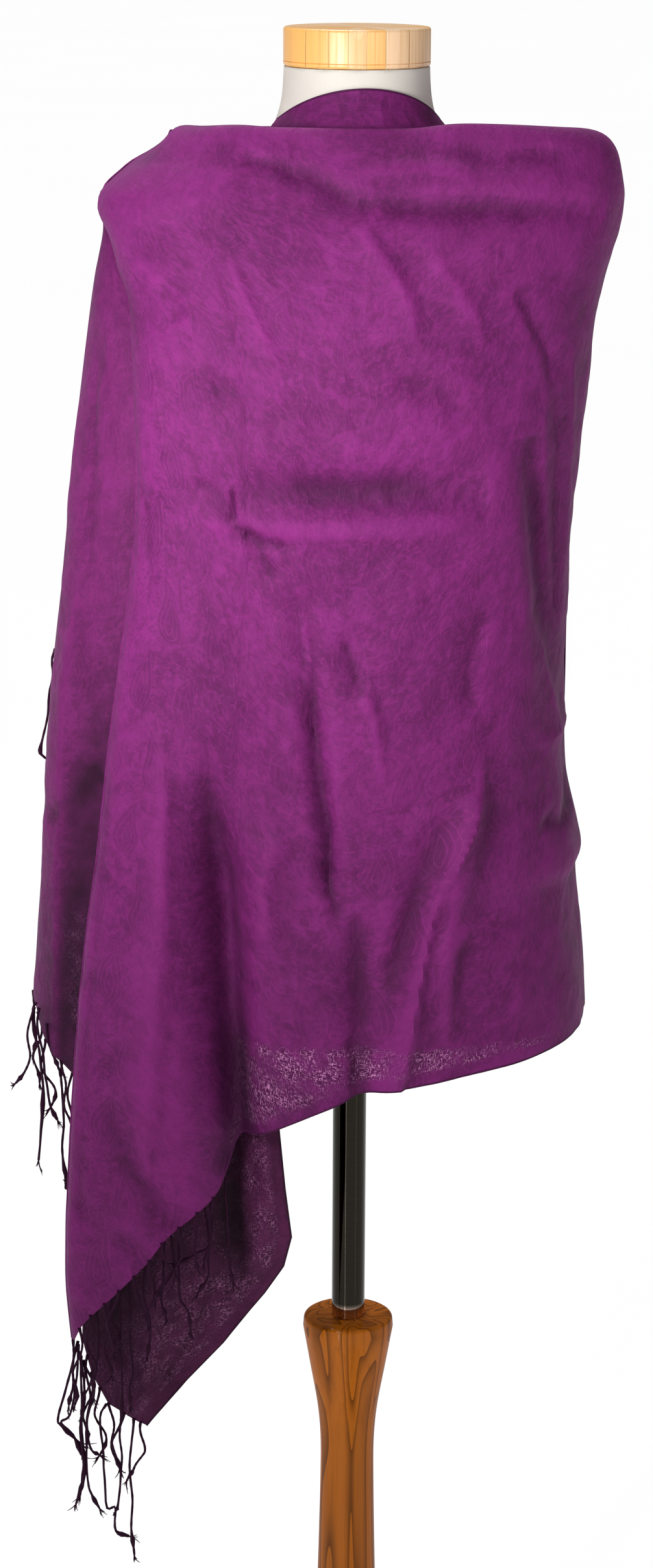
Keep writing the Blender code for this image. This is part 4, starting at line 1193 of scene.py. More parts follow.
def paisley_group():
    """Rows of curled drops with lines inside them, and fine tendrils between."""
    tree, taken, given = new_group("woven paisley", "Motif", 0.045, ("Lines", "Body"))
    if taken is None:
        return tree
    wobble = node(tree, "ShaderNodeTexNoise", Vector=taken["Place"], Scale=38.0, Detail=1.0)
    bent = node(tree, "ShaderNodeVectorMath", operation="MULTIPLY_ADD",
                i0=wobble.outputs["Color"], i1=(0.010, 0.010, 0.0), i2=taken["Place"])
    scaled = node(tree, "ShaderNodeVectorMath", operation="DIVIDE", i0=bent.outputs[0])
    size = node(tree, "ShaderNodeCombineXYZ", X=taken["Motif"], Y=taken["Motif"], Z=1.0)
    tree.links.new(size.outputs[0], scaled.inputs[1])
    parts = node(tree, "ShaderNodeSeparateXYZ", i0=scaled.outputs[0])
    row = maths(tree, "FLOOR", times(tree, parts.outputs[1], 0.8))
    odd = maths(tree, "MODULO", maths(tree, "ABSOLUTE", row), 2.0)
    shifted = times_plus(tree, odd, 0.5, parts.outputs[0])
    local_x = minus(tree, maths(tree, "FRACT", shifted), 0.5)
    high = minus(tree, maths(tree, "FRACT", times(tree, parts.outputs[1], 0.8)), 0.5)
    flip = times_plus(tree, odd, -2.0, 1.0)
    local_x = times(tree, local_x, flip)
    curl = times(tree, maths(tree, "POWER", maths(tree, "MAXIMUM", high, 0.0), 2.0), 1.3)
    across = maths(tree, "ABSOLUTE", maths(tree, "ADD", local_x, curl))
    up = maths(tree, "ADD", high, 0.14)
    rounded = rest(tree, maths(tree, "POWER", times(tree, up, 3.6), 2.0))
    rounded = maths(tree, "SQRT", maths(tree, "MAXIMUM", rounded, 0.0))
    tapered = maths(tree, "MAXIMUM", times_plus(tree, up, -1.9, 1.0), 0.0)
    tapered = maths(tree, "POWER", tapered, 0.7)
    above = maths(tree, "GREATER_THAN", up, 0.0)
    width = maths(tree, "ADD", times(tree, above, tapered), times(tree, rest(tree, above), rounded))
    width = times(tree, 0.27, width)
    inside = minus(tree, width, across)
    body = soft_band(tree, inside, 0.0, 0.02)
    rings = maths(tree, "PINGPONG", inside, 0.045)
    lines = times(tree, rest(tree, soft_band(tree, rings, 0.004, 0.014)),
                  soft_band(tree, inside, -0.020, -0.010))
    tendril = clouds(tree, taken["Place"], 95.0, 1.5)
    near = maths(tree, "ABSOLUTE", minus(tree, tendril, 0.5))
    sprays = times(tree, rest(tree, soft_band(tree, near, 0.006, 0.022)),
                   rest(tree, body))
    tree.links.new(maths(tree, "MAXIMUM", lines, times(tree, sprays, 0.7)), given["Lines"])
    tree.links.new(body, given["Body"])
    return tree


def sheer_group():
    """Open weave in patches: short threads up and across, painted bright as glints, over gaps painted dark
    as shade.
    """
    tree, taken, given = new_group("sheer weave", "Amount", 1.0, ("Threads", "Gaps"))
    if taken is None:
        return tree
    threads = []
    for scale in ((330.0, 1500.0, 1.0), (1500.0, 280.0, 1.0)):
        threaded = stretched(tree, taken["Place"], scale)
        found = clouds(tree, threaded, 1.0, 1.0)
        threads.append(soft_band(tree, found, 0.56, 0.66))
    patch = clouds(tree, taken["Place"], 62.0, 1.0)
    strong = soft_band(tree, patch, 0.38, 0.62)
    share = times(tree, times_plus(tree, strong, 0.85, 0.15), taken["Amount"])
    bright = times(tree, maths(tree, "MAXIMUM", threads[0], threads[1]), share)
    tree.links.new(bright, given["Threads"])
    tree.links.new(times(tree, rest(tree, bright), share), given["Gaps"])
    return tree


def grain_group():
    """Wood grain along Z: long dark pores and broad soft rings."""
    tree, taken, given = new_group("wood grain", "Fineness", 1.0, ("Pores", "Rings"))
    if taken is None:
        return tree
    scaled = node(tree, "ShaderNodeVectorMath", operation="SCALE", i0=taken["Place"])
    tree.links.new(taken["Fineness"], scaled.inputs["Scale"])
    fine = stretched(tree, scaled.outputs[0], (520.0, 520.0, 9.0))
    pores = clouds(tree, fine, 1.0, 3.0)
    tree.links.new(soft_band(tree, pores, 0.50, 0.68), given["Pores"])
    broad = stretched(tree, scaled.outputs[0], (30.0, 30.0, 1.3))
    rings = clouds(tree, broad, 1.0, 1.5, Distortion=0.4)
    wave = maths(tree, "FRACT", times(tree, rings, 10.0))
    tree.links.new(maths(tree, "POWER", wave, 2.5), given["Rings"])
    return tree


def new_material(name):
    """A material with its tree and its Principled shader."""
    made = bpy.data.materials.new(name)
    made.use_nodes = True
    tree = made.node_tree
    return made, tree, tree.nodes["Principled BSDF"]


def bump(tree, shader, height, strength, distance):
    """Feed a height to the shader's normal."""
    made = node(tree, "ShaderNodeBump", Height=height, Strength=strength, Distance=distance)
    feed(tree, shader, Normal=made.outputs[0])


def shade(colour, share):
    """A colour made darker or lighter by a share."""
    return tuple(min(part * share, 1.0) for part in colour[:3]) + (1.0,)


def toned(tree, ground, colour, *tones):
    """Shades of a colour over a ground, each by its mask."""
    for mask, share in tones:
        ground = mixed(tree, mask, ground, shade(colour, share))
    return ground


# Threads of the open weave that catch the light
GLINT = (0.62, 0.23, 0.50, 1.0)


def cloth_material(name, colour, glint):
    """Purple jacquard: fine weave, tonal paisley, cloudy tone and sheer parts, with painted glints, shade
    and highlights.
    """
    made, tree, shader = new_material(name)
    flat = node(tree, "ShaderNodeUVMap", uv_map="UVMap").outputs[0]
    rim = mark(tree, "rim")
    weight = mark(tree, "paisley")
    amount = mark(tree, "sheer")
    weave = use_group(tree, weave_group(), Place=flat)
    pattern = use_group(tree, paisley_group(), Place=flat)
    open_weave = use_group(tree, sheer_group(), Place=flat, Amount=amount)
    cloud = clouds(tree, flat, 14.0, 3.0, Roughness=0.60, Distortion=0.5)
    tone = soft_band(tree, cloud, 0.36, 0.64)
    patch = clouds(tree, flat, 55.0, 7.0, Roughness=0.74)
    fine = soft_band(tree, patch, 0.36, 0.64)
    tone = times_plus(tree, tone, 0.60, times(tree, fine, 0.40))
    ground = mixed(tree, tone, shade(colour, 0.66), shade(colour, 1.28))
    slub = soft_band(tree, weave["Slub"], 0.35, 0.75)
    fleck = clouds(tree, flat, 150.0, 4.0, Roughness=0.55, Distortion=1.4)
    bright = soft_band(tree, fleck, 0.53, 0.60)
    dull = rest(tree, soft_band(tree, fleck, 0.40, 0.47))
    patterned = times(tree, pattern["Body"], times(tree, weight, 0.40))
    lines = times(tree, pattern["Lines"], times(tree, weight, 0.50))
    # The slubs, flecks and paisley are the cloth's own tone; the open weave's gaps are painted shade
    ground = toned(
        tree, ground, colour, (times(tree, slub, 0.30), 1.30), (times(tree, bright, 0.34), 1.55),
        (times(tree, dull, 0.34), 0.60), (patterned, 0.74), (lines, 1.45),
        (times(tree, open_weave["Gaps"], 0.60), 0.35))
    # Painted glints on the open weave's threads
    ground = mixed(tree, times(tree, open_weave["Threads"], glint), ground, GLINT)
    # Painted shade in the troughs and painted highlights on the ridges, by how far the cloth stands out
    # less the painted shade of the tables
    stands = mark(tree, "relief")
    low = maths(tree, "MINIMUM", maths(tree, "MAXIMUM", times(tree, stands, -0.52), 0.0), 0.92)
    high = times(tree, soft_band(tree, stands, 0.10, 0.9), 0.35)
    edge = maths(tree, "LESS_THAN", rim, 0.0016)
    ground = toned(tree, ground, colour, (low, 0.16), (high, 1.8), (edge, 0.45))
    rough = times_plus(tree, open_weave["Threads"], -0.25, 0.68)
    rough = times_plus(tree, lines, -0.12, rough)
    feed(tree, shader, Base_Color=ground, Roughness=rough, Sheen_Weight=0.03, Sheen_Roughness=0.40,
         Sheen_Tint=(0.90, 0.40, 0.85, 1.0), Specular_IOR_Level=0.14)
    height = times_plus(tree, lines, 0.9, times(tree, weave["Height"], 0.35))
    height = maths(tree, "ADD", height, times(tree, open_weave["Threads"], 0.9))
    height = maths(tree, "ADD", height, times(tree, slub, 0.30))
    turned = stretched(tree, flat, (44.0, 36.0, 1.0), (0.0, 0.0, 0.45))
    crumple = clouds(tree, turned, 1.0, 3.0)
    folds = maths(tree, "ABSOLUTE", minus(tree, crumple, 0.5))
    deep = times_plus(tree, amount, -10.0, -14.0)
    height = times_plus(tree, maths(tree, "MINIMUM", folds, 0.16), deep, height)
    bump(tree, shader, height, 0.60, 0.0004)
    return made


def yarn_material(colour):
    """Twisted purple yarn: light and dark plies round each strand."""
    made, tree, shader = new_material("twisted yarn")
    place = own_place(tree)
    ply = node(tree, "ShaderNodeTexWave", Vector=place, Scale=420.0, Distortion=1.5,
               bands_direction="DIAGONAL").outputs["Fac"]
    fuzz = clouds(tree, place, 700.0, 2.0)
    ground = mixed(tree, ply, shade(colour, 0.45), shade(colour, 1.05))
    ground = mixed(tree, times(tree, fuzz, 0.35), ground, shade(colour, 0.6))
    feed(tree, shader, Base_Color=ground, Roughness=soft_band(tree, fuzz, -1.2, 1.4),
         Specular_IOR_Level=0.1)
    bump(tree, shader, ply, 0.6, 0.0004)
    return made


def cover_material(colour):
    """Off-white form cover: tight knitted cloth over foam."""
    made, tree, shader = new_material("off-white cover")
    place = own_place(tree)
    knit = clouds(tree, place, 900.0, 2.0)
    soil = clouds(tree, place, 22.0, 3.0)
    ground = mixed(tree, soft_band(tree, soil, 0.35, 0.75), colour, shade(colour, 0.93))
    ground = mixed(tree, times(tree, knit, 0.25), ground, shade(colour, 0.85))
    feed(tree, shader, Base_Color=ground, Roughness=soft_band(tree, soil, -1.6, 1.6))
    bump(tree, shader, knit, 0.35, 0.0003)
    return made


def pine_material(colour):
    """Light staves with fine dark joints, clear satin finish."""
    made, tree, shader = new_material("light pine staves")
    place = own_place(tree)
    grain = use_group(tree, grain_group(), Place=place, Fineness=0.8)
    parts = node(tree, "ShaderNodeSeparateXYZ", i0=place)
    turn = maths(tree, "ARCTAN2", parts.outputs[0], times(tree, parts.outputs[1], -1.0))
    uneven = times_plus(tree, maths(tree, "SINE", times(tree, turn, 3.0)), 0.42,
                   times_plus(tree, turn, 2.86, 0.5))
    stave = maths(tree, "FLOOR", uneven)
    tint = node(tree, "ShaderNodeTexWhiteNoise", noise_dimensions="1D")
    tree.links.new(stave, tint.inputs["W"])
    joint = maths(tree, "ABSOLUTE", minus(tree, maths(tree, "FRACT", uneven), 0.5))
    joint = soft_band(tree, joint, 0.484, 0.497)
    side = node(tree, "ShaderNodeNewGeometry")
    level = node(tree, "ShaderNodeSeparateXYZ", i0=side.outputs["Normal"])
    wall = rest(tree, maths(tree, "ABSOLUTE", level.outputs[2]))
    ground = mixed(tree, tint.outputs["Value"], colour, (0.80, 0.56, 0.360, 1.0))
    ground = mixed(tree, times(tree, grain["Rings"], 0.28), ground, shade(colour, 0.80))
    ground = mixed(tree, times(tree, grain["Pores"], 0.35), ground, shade(colour, 0.62))
    ground = mixed(tree, times(tree, joint, wall), ground, (0.20, 0.09, 0.03, 1.0))
    feed(tree, shader, Base_Color=ground, Roughness=times_plus(tree, grain["Pores"], 0.15, 0.36),
         Coat_Weight=0.10, Coat_Roughness=0.35)
    bump(tree, shader, minus(tree, times(tree, grain["Pores"], -0.4), joint), 0.4, 0.0004)
    return made


def varnish_material(name, colour, along):
    """Turned wood under a thick clear varnish, its grain along one axis."""
    made, tree, shader = new_material(name)
    place = own_place(tree)
    turned = stretched(tree, place, (1.0, 1.0, 1.0), along)
    grain = use_group(tree, grain_group(), Place=turned, Fineness=1.0)
    ground = mixed(tree, times(tree, grain["Rings"], 0.90), shade(colour, 1.20), shade(colour, 0.30))
    ground = mixed(tree, times(tree, grain["Pores"], 0.25), ground, shade(colour, 0.45))
    feed(tree, shader, Base_Color=ground, Roughness=times_plus(tree, grain["Pores"], 0.12, 0.30),
         Specular_IOR_Level=0.0, Coat_Weight=0.28, Coat_Roughness=0.06)
    bump(tree, shader, grain["Pores"], 0.15, 0.0003)
    return made


# Up to here, 3 mm above the post's top, the tube is coloured bright and warm
TUBE_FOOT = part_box("stand_post")[1][2] + 0.003


def steel_material(colour):
    """Polished chrome, dark as a painted reflection of a dark room, with faint wiping marks and a bright
    foot.
    """
    made, tree, shader = new_material("polished tube")
    place = own_place(tree)
    marks = stretched(tree, place, (60.0, 60.0, 500.0))
    wipe = clouds(tree, marks, 1.0, 2.0)
    ground = mixed(tree, wipe, colour, shade(colour, 1.3))
    height = node(tree, "ShaderNodeSeparateXYZ", i0=place).outputs[2]
    foot = rest(tree, soft_band(tree, height, TUBE_FOOT, TUBE_FOOT + 0.010))
    ground = mixed(tree, foot, ground, (0.62, 0.45, 0.36, 1.0))
    feed(tree, shader, Base_Color=ground, Roughness=times_plus(tree, wipe, 0.05, 0.04), Metallic=1.0)
    return made


def floor_material(colour):
    """Plain pale floor."""
    made, tree, shader = new_material("pale floor")
    place = own_place(tree)
    cloud = clouds(tree, place, 0.6, 1.0)
    feed(tree, shader, Base_Color=mixed(tree, cloud, colour, shade(colour, 0.985)), Roughness=0.85,
         Specular_IOR_Level=0.1)
    return made


def turned_piece(profile, steps):
    """A solid of revolution: one vertex of a plane is extruded along a profile and spun."""
    deselect()
    bpy.ops.mesh.primitive_plane_add(size=0.01)
    piece = bpy.context.object
    bm = bmesh.new()
    bm.verts.new((profile[0][0], 0.0, profile[0][1]))
    bm.to_mesh(piece.data)
    bm.free()
    bpy.ops.object.mode_set(mode="EDIT")
    bpy.ops.mesh.select_all(action="SELECT")
    for before, after in zip(profile, profile[1:]):
        move = (after[0] - before[0], 0.0, after[1] - before[1])
        bpy.ops.mesh.extrude_region_move(TRANSFORM_OT_translate={"value": move})
    bpy.ops.mesh.select_all(action="SELECT")
    bpy.ops.mesh.spin(steps=steps, angle=2 * math.pi, center=(0, 0, 0), axis=(0, 0, 1))
    bpy.ops.mesh.select_all(action="SELECT")
    bpy.ops.mesh.remove_doubles(threshold=0.00002)
    bpy.ops.mesh.normals_make_consistent(inside=False)
    bpy.ops.object.mode_set(mode="OBJECT")
    bpy.ops.object.shade_smooth_by_angle(angle=math.radians(35))
    return piece


def rounded_corner(x, z, radius, start, stop, steps=5):
    """Points on a quarter turn of a profile's corner, about its centre."""
    points = []
    for step in range(steps + 1):
        angle = math.radians(start + (stop - start) * step / steps)
        points.append((x + radius * math.cos(angle), z + radius * math.sin(angle)))
    return points


def colour_property(label, description, default):
    """A colour that a user can change."""
    return bpy.props.FloatVectorProperty(
        name=label, description=description, default=default, size=4, subtype="COLOR", min=0.0, max=1.0)


def length_property(label, description, default):
    """A length that a user can change."""
    return bpy.props.FloatProperty(
        name=label, description=description, default=default, unit="LENGTH", precision=4)


def power_property(label, description, default):
    """The power of a light that a user can change."""
    return bpy.props.FloatProperty(name=label, description=description, default=default)


class ScarfSettings(bpy.types.PropertyGroup):
    """The cloth and its fringe."""

    wall: length_property("Cloth wall", "Thickness of the cloth", 0.0008)
    fold: length_property("Fold radius", "How round the folded edge is", 0.0014)
    strand: length_property("Strand radius", "Radius of a fringe strand", 0.0010)
    cloth: colour_property("Cloth", "Lit colour of the cloth", (0.122, 0.0095, 0.093, 1.0))
    # The side's layer: the same cloth a little darker, partly as a single sheer layer and partly as painted
    # shade
    second: colour_property("Second layer", "Colour of the side's layer", (0.108, 0.0090, 0.080, 1.0))
    under: colour_property("Under layer", "Colour of the layer below", (0.060, 0.0080, 0.041, 1.0))
    yarn: colour_property("Yarn", "Colour of the fringe", (0.036, 0.0052, 0.027, 1.0))


class StandSettings(bpy.types.PropertyGroup):
    """The form and its stand."""

    cover: colour_property("Cover", "Cloth of the form", (0.60, 0.565, 0.510, 1.0))
    pine: colour_property("Cap", "Wood of the neck cap", (0.78, 0.40, 0.100, 1.0))
    wood: colour_property("Post", "Varnished wood of the stand", (0.38, 0.105, 0.0070, 1.0))
    # The tube's dark colour is a painted reflection of a dark room
    tube: colour_property("Tube", "Polished tube", (0.019, 0.0170, 0.0133, 1.0))


class StageSettings(bpy.types.PropertyGroup):
    """The floor and the light."""

    floor: colour_property("Floor", "Pale floor", (0.92, 0.92, 0.92, 1.0))
    high: power_property("High light", "Strength of the even light", 3.0)
    softness: bpy.props.FloatProperty(
        name="Softness", description="Width of the even light", default=math.radians(20), subtype="ANGLE")
    key: power_property("Key light", "Power of the near panel", 2.65)
    fill: power_property("Neck light", "Power of the panel on the neck", 0.08)
    strip: power_property("Strips", "Power of the upright strips", 0.6)
    sky: power_property("Room light", "Brightness of the room", 0.25)


class SCARF_OT_front(bpy.types.Operator):
    """Make the front stretch with its folded left edge, and its fringe"""

    bl_idname = "scarf.front"
    bl_label = "Front"

    def execute(self, context):
        settings = context.scene.scarf
        points = front_grid()
        x = points[0, :, 0]
        corner = smooth_step((x - FRONT_CORNER_X) / 0.004)[None, :]
        rim = edge_distance(points, 0)
        below = smooth_step((SHEER_TOP - points[..., 2]) / 0.0015)
        below = below * smooth_step((rim - CLOSED_EDGE) / 0.002)
        sheer = below * corner * smooth_step((SHEER_RIGHT - points[..., 0]) / 0.02)
        rim = rim + 1 - corner
        paisley = banded(PAISLEY_FRONT, edge_distance(points, 1), FRONT_BANDS)
        shaded = crease_sum(points, FRONT_SHADES)
        front = grid_object(points, marks_of(points, rim, paisley, sheer, shaded))
        back = return_grid(points, settings.fold)
        turned = grid_object(back, marks_of(back, 1.0, PAISLEY_RETURN))
        activate(front)
        turned.select_set(True)
        bpy.ops.object.join()
        piece = bpy.context.object
        bpy.ops.object.mode_set(mode="EDIT")
        bpy.ops.mesh.select_all(action="SELECT")
        bpy.ops.mesh.remove_doubles(threshold=WELD)
        bpy.ops.object.mode_set(mode="OBJECT")
        give_wall(piece, settings.wall)
        cloth = cloth_material("purple jacquard", settings.cloth, 0.75)
        finish_piece(piece, "scarf_front_sheet", cloth, "scarf_cloth", "scarf_front", "scarf_front_return")

        yarn_material(settings.yarn)
        last = int(np.argmax(x > FRONT_CORNER_X))
        places = edge_places(points[0, :last], points[INNER, :last], FRONT_FRINGE.strands)
        paths = fallen_strands(places, FRONT_FRINGE, hang_free)
        paths += seen_strands(FOLD_SEEN) + seen_strands(SLANT_SEEN)
        strands = fringe_piece("front", paths, settings.strand)
        return {"FINISHED"}


class SCARF_OT_back(bpy.types.Operator):
    """Make the stretch across the back"""

    bl_idname = "scarf.back"
    bl_label = "Back"

    def execute(self, context):
        settings = context.scene.scarf
        points = back_grid()
        paisley = banded(PAISLEY_BACK, edge_distance(points, 1), BACK_BANDS)
        marks = marks_of(points, edge_distance(points, 0), paisley)
        cloth = bpy.data.materials["purple jacquard"]
        piece = cloth_sheet(points, marks, settings.wall, "scarf_back_sheet", cloth, "scarf_back")
        return {"FINISHED"}


class SCARF_OT_side(bpy.types.Operator):
    """Make the layer under the front at the left side, and its fringe"""

    bl_idname = "scarf.side"
    bl_label = "Side"

    def execute(self, context):
        settings = context.scene.scarf
        points = side_grid()
        x, z = points[..., 0], points[..., 2]
        sheer = SIDE_SHEER * smooth_step((SIDE_SHEER_TOP - z) / 0.03)
        sheer = sheer * smooth_step((x - SIDE_SHEER_LEFT) / 0.010)
        past = x - read(FOLD_EDGE, "z", z, "x")
        shaded = SIDE_SHADE * smooth_step((past + SIDE_SHADE_REACH) / SIDE_SHADE_FADE)
        shaded = shaded * smooth_step((SIDE_SHADE_TOP - z) / 0.25)
        marks = marks_of(points, 1.0, PAISLEY_SIDE, sheer, shaded)
        # A darker copy of the cloth, partly painted shade
        second = cloth_material("purple jacquard second layer", settings.second, 0.75)
        piece = cloth_sheet(points, marks, settings.wall, "scarf_side_sheet", second, "scarf_side")
        last = int(points.shape[1] * SIDE_FRINGE_END)
        places = edge_places(points[0, :last], points[INNER, :last], SIDE_FRINGE.strands)
        paths = fallen_strands(places, SIDE_FRINGE, hang_free) + seen_strands(SIDE_SEEN)
        strands = fringe_piece("side", paths, settings.strand)
        return {"FINISHED"}


class SCARF_OT_tail(bpy.types.Operator):
    """Make the low tail behind the front, and its fringe"""

    bl_idname = "scarf.tail"
    bl_label = "Tail"

    def execute(self, context):
        settings = context.scene.scarf
        points = tail_grid()
        rim = edge_distance(points, 1, from_end=True)
        # Painted shade on the tail from the front's flap and its own folds, with the whole tail painted a
        # little lighter
        shaded = crease_sum(points, TAIL_SHADES)
        sheer = smooth_step((rim - TAIL_CLOSED_EDGE) / 0.003) * (1.0 - 0.6 * np.clip(shaded, 0, 1))
        marks = marks_of(points, rim, PAISLEY_TAIL, sheer, shaded - 0.25)
        under = cloth_material("purple jacquard under layer", settings.under, 0.50)
        piece = cloth_sheet(points, marks, settings.wall, "scarf_tail_sheet", under, "scarf_tail")
        rise = int(points.shape[0] * TAIL_FRINGE_RISE)
        line = np.concatenate([points[rise:0:-1, 0], points[0]])
        inner = np.concatenate([points[rise + INNER - 1:INNER - 1:-1, INNER - 1], points[INNER]])
        places = edge_places(line, inner, TAIL_FRINGE.strands)
        paths = fallen_strands(places, TAIL_FRINGE, hang_free) + seen_strands(TAIL_SEEN)
        strands = fringe_piece("tail", paths, settings.strand)
        return {"FINISHED"}


class SCARF_OT_corner(bpy.types.Operator):
    """Make the corner that lies over the left shoulder at the back, and its fringe"""

    bl_idname = "scarf.corner"
    bl_label = "Back corner"

    def execute(self, context):
        settings = context.scene.scarf
        points = corner_grid()
        marks = marks_of(points, edge_distance(points, 1), PAISLEY_CORNER)
        cloth = bpy.data.materials["purple jacquard"]
        piece = cloth_sheet(points, marks, settings.wall, "scarf_corner_sheet", cloth, "scarf_back_corner")
        places = edge_places(points[0], points[INNER], BACK_FRINGE.strands)
        paths = fallen_strands(places, BACK_FRINGE, hang_on_back) + seen_strands(BACK_SEEN)
        strands = fringe_piece("back", paths, settings.strand)
        return {"FINISHED"}


class SCARF_OT_collar(bpy.types.Operator):
    """Make the top edge that stands against the neck"""

    bl_idname = "scarf.collar"
    bl_label = "Collar"

    def execute(self, context):
        settings = context.scene.scarf
        points = collar_grid()
        marks = marks_of(points, edge_distance(points, 0, from_end=True), PAISLEY_COLLAR)
        cloth = bpy.data.materials["purple jacquard"]
        piece = cloth_sheet(points, marks, settings.wall, "scarf_collar_sheet", cloth, "scarf_collar")
        return {"FINISHED"}


class SCARF_OT_form(bpy.types.Operator):
    """Make the smooth cover of the form from its solid"""

    bl_idname = "scarf.form"
    bl_label = "Form"

    def execute(self, context):
        settings = context.scene.stand
        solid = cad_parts["form_body"]
        piece = bpy.data.objects.new("form_cover", solid.data.copy())
        context.scene.collection.objects.link(piece)
        low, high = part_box("form_body")
        bm = bmesh.new()
        bm.from_mesh(piece.data)
        bmesh.ops.remove_doubles(bm, verts=bm.verts, dist=0.00002)
        bmesh.ops.join_triangles(bm, faces=bm.faces, angle_face_threshold=math.radians(40),
                                 angle_shape_threshold=math.radians(60))
        crease = bm.edges.layers.float.new("crease_edge")
        for edge in bm.edges:
            heights = [corner.co.z for corner in edge.verts]
            if min(heights) > high.z - 0.0005 or max(heights) < low.z + 0.0005:
                edge[crease] = 0.85
        bm.to_mesh(piece.data)
        bm.free()
        piece.modifiers.new("smooth", "SUBSURF").levels = 2
        piece.modifiers["smooth"].render_levels = 2
        apply_all(piece)
        bpy.ops.object.shade_smooth()
        finish_piece(piece, "form_cover", cover_material(settings.cover), "form_cover", "form_body")
        return {"FINISHED"}


class SCARF_OT_stand(bpy.types.Operator):
    """Make the neck cap, the tube, the turned post and the round base"""

    bl_idname = "scarf.stand"
    bl_label = "Cap and stand"

    def execute(self, context):
        settings = context.scene.stand
        low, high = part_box("neck_cap")
        radius, ease = high.x, 0.0022
        groove = [(radius, low.z + 0.0040), (radius - 0.0006, low.z + 0.0036), (radius, low.z + 0.0032)]
        profile = [(0.0, high.z)] + rounded_corner(radius - ease, high.z - ease, ease, 90, 0)
        profile += groove + rounded_corner(radius - ease, low.z + ease, ease, 0, -90) + [(0.0, low.z)]
        piece = turned_piece(profile, 96)
        finish_piece(piece, "neck_cap_staves", pine_material(settings.pine), "cap_wood", "neck_cap")

        low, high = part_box("form_pole")
        profile = [(0.0, high.z), (high.x, high.z), (high.x, low.z), (0.0, low.z)]
        piece = turned_piece(profile, 64)
        finish_piece(piece, "pole_tube", steel_material(settings.tube), "pole_metal", "form_pole")

        piece = turned_piece(post_profile(), 96)
        wood = varnish_material("varnished post", settings.wood, (0.0, 0.0, 0.0))
        finish_piece(piece, "turned_post", wood, "stand_wood", "stand_post")

        low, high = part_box("stand_base")
        rim = high.x
        profile = [(0.0, high.z), (rim - 0.030, high.z)]
        profile += rounded_corner(rim - 0.026, high.z - 0.002, 0.002, 90, 20, 3)
        profile += rounded_corner(rim - 0.011, high.z - 0.013, 0.011, 100, -20, 9)
        profile += [(rim - 0.003, low.z + 0.009)]
        profile += rounded_corner(rim - 0.004, low.z + 0.004, 0.004, 60, -90, 6) + [(0.0, low.z)]
        piece = turned_piece(profile, 128)
        wood = varnish_material("varnished base", settings.wood, (0.0, math.radians(90), 0.0))
        finish_piece(piece, "round_base", wood, "stand_wood", "stand_base")
        return {"FINISHED"}


Turn = namedtuple("Turn", "z radius")
POST = in_metres(Turn, (
    (552, 36), (518, 30.1), (484, 24.2), (460, 21.9), (435, 21.4), (346, 23.1), (220, 26.8), (130, 30),
    (80, 27), (55, 27), (42, 40),
))
POST_STEPS = 70


def post_profile():
    """The turned post from its top down, with an eased rim and a foot."""
    low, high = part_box("stand_post")
    rim = 0.0355
    profile = [(0.0, high.z), (rim - 0.003, high.z)]
    profile += rounded_corner(rim - 0.003, high.z - 0.003, 0.003, 90, 0, 4)[1:]
    heights = np.linspace(POST[0].z, POST[-1].z, POST_STEPS)
    radii = read(POST, "z", heights, "radius")
    profile += [(float(radius), float(z)) for radius, z in zip(radii, heights)]
    return profile + [(POST[-1].radius, low.z), (0.0, low.z)]


class SCARF_OT_stage(bpy.types.Operator):
    """Make the camera, the pale floor and the soft light"""

    bl_idname = "scarf.stage"
    bl_label = "Studio"

    def execute(self, context):
        settings = context.scene.stage_look
        place_camera(context.scene)
        deselect()
        bpy.ops.mesh.primitive_plane_add(size=120.0, location=(0.0, 0.0, -0.0005))
        floor = bpy.context.object
        floor.name = "studio_floor"
        floor.data.materials.append(floor_material(settings.floor))
        add_sun("high_light", HIGH_TURN, HIGH_RISE, settings.high, settings.softness)
        for panel in PANELS:
            add_panel(panel, panel.share * getattr(settings, panel.power))
        world = bpy.data.worlds.new("room")
        world.use_nodes = True
        background = world.node_tree.nodes["Background"]
        background.inputs["Color"].default_value = (1.0, 1.0, 1.0, 1.0)
        background.inputs["Strength"].default_value = settings.sky
        context.scene.world = world
        context.scene.view_settings.view_transform = "Standard"
        return {"FINISHED"}


def place_camera(scene):
    """Stand the camera where the photograph was taken."""
    ahead = Vector((0.0, math.cos(CAMERA_PITCH), -math.sin(CAMERA_PITCH)))
    level = Vector((1.0, 0.0, 0.0))
    upright = level.cross(ahead)
    turn, lean = math.cos(CAMERA_ROLL), math.sin(CAMERA_ROLL)
    right = level * turn - upright * lean
    up = level * lean + upright * turn
    data = bpy.data.cameras.new("photo_camera")
    data.sensor_width = SENSOR_MM
    data.lens = FOCAL_PIXELS / PHOTO_HEIGHT * SENSOR_MM
    data.clip_end = 200.0
    camera = bpy.data.objects.new("photo_camera", data)
    axes = Matrix((right, up, -ahead)).transposed()
    camera.matrix_world = Matrix.Translation(CAMERA_AIM - ahead * CAMERA_DISTANCE) @ axes.to_4x4()
    scene.collection.objects.link(camera)
    scene.camera = camera


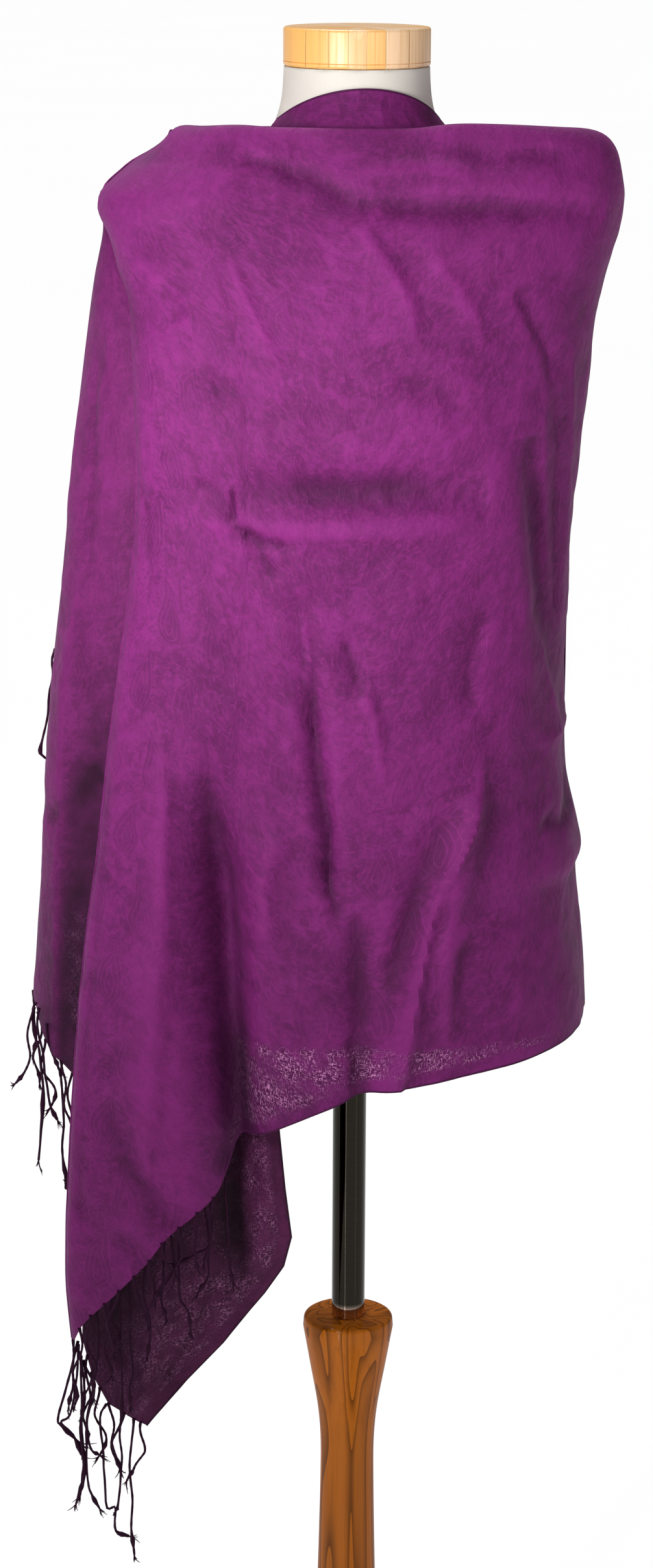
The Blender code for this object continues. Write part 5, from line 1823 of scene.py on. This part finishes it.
def add_sun(name, turn, height, power, softness):
    """The main light: turn is how far left of the front it stands, and height how high."""
    data = bpy.data.lights.new(name, "SUN")
    data.energy = power
    data.angle = softness
    light = bpy.data.objects.new(name, data)
    level = math.cos(height)
    way = Vector((math.sin(turn) * level, math.cos(turn) * level, -math.sin(height)))
    light.rotation_euler = way.to_track_quat("-Z", "Y").to_euler()
    bpy.context.scene.collection.objects.link(light)


def add_panel(panel, power):
    """A soft upright panel turned towards a point."""
    data = bpy.data.lights.new(panel.name, "AREA")
    data.shape = "RECTANGLE"
    data.size, data.size_y = panel.size
    data.energy = power
    data.spread = math.radians(panel.spread)
    light = bpy.data.objects.new(panel.name, data)
    light.visible_camera = False
    light.location = panel.place
    ahead = Vector(panel.aim) - Vector(panel.place)
    light.rotation_euler = ahead.to_track_quat("-Z", "Y").to_euler()
    bpy.context.scene.collection.objects.link(light)


STEPS = ("stage", "front", "back", "side", "tail", "corner", "collar", "form", "stand")


class SCARF_PT_panel(bpy.types.Panel):
    """Lists the pieces and their settings in the sidebar"""

    bl_label = "Shawl scarf"
    bl_idname = "SCARF_PT_panel"
    bl_space_type = "VIEW_3D"
    bl_region_type = "UI"
    bl_category = "Scarf"

    def draw(self, context):
        scene = context.scene
        for group in (scene.scarf, scene.stand, scene.stage_look):
            box = self.layout.box()
            for name in group.__annotations__:
                box.prop(group, name)
        for step in STEPS:
            self.layout.operator("scarf." + step)


CLASSES = (
    ScarfSettings, StandSettings, StageSettings, SCARF_OT_stage, SCARF_OT_front, SCARF_OT_back,
    SCARF_OT_side, SCARF_OT_tail, SCARF_OT_corner, SCARF_OT_collar, SCARF_OT_form, SCARF_OT_stand,
    SCARF_PT_panel,
)


def register():
    """Register the classes and their settings."""
    for item in CLASSES:
        bpy.utils.register_class(item)
    bpy.types.Scene.scarf = bpy.props.PointerProperty(type=ScarfSettings)
    bpy.types.Scene.stand = bpy.props.PointerProperty(type=StandSettings)
    bpy.types.Scene.stage_look = bpy.props.PointerProperty(type=StageSettings)


def unregister():
    """Take the classes and their settings away."""
    del bpy.types.Scene.stage_look
    del bpy.types.Scene.stand
    del bpy.types.Scene.scarf
    for item in reversed(CLASSES):
        bpy.utils.unregister_class(item)


def main():
    """Make every piece in order."""
    register()
    for step in STEPS:
        getattr(bpy.ops.scarf, step)()


if __name__ == "__main__":
    main()
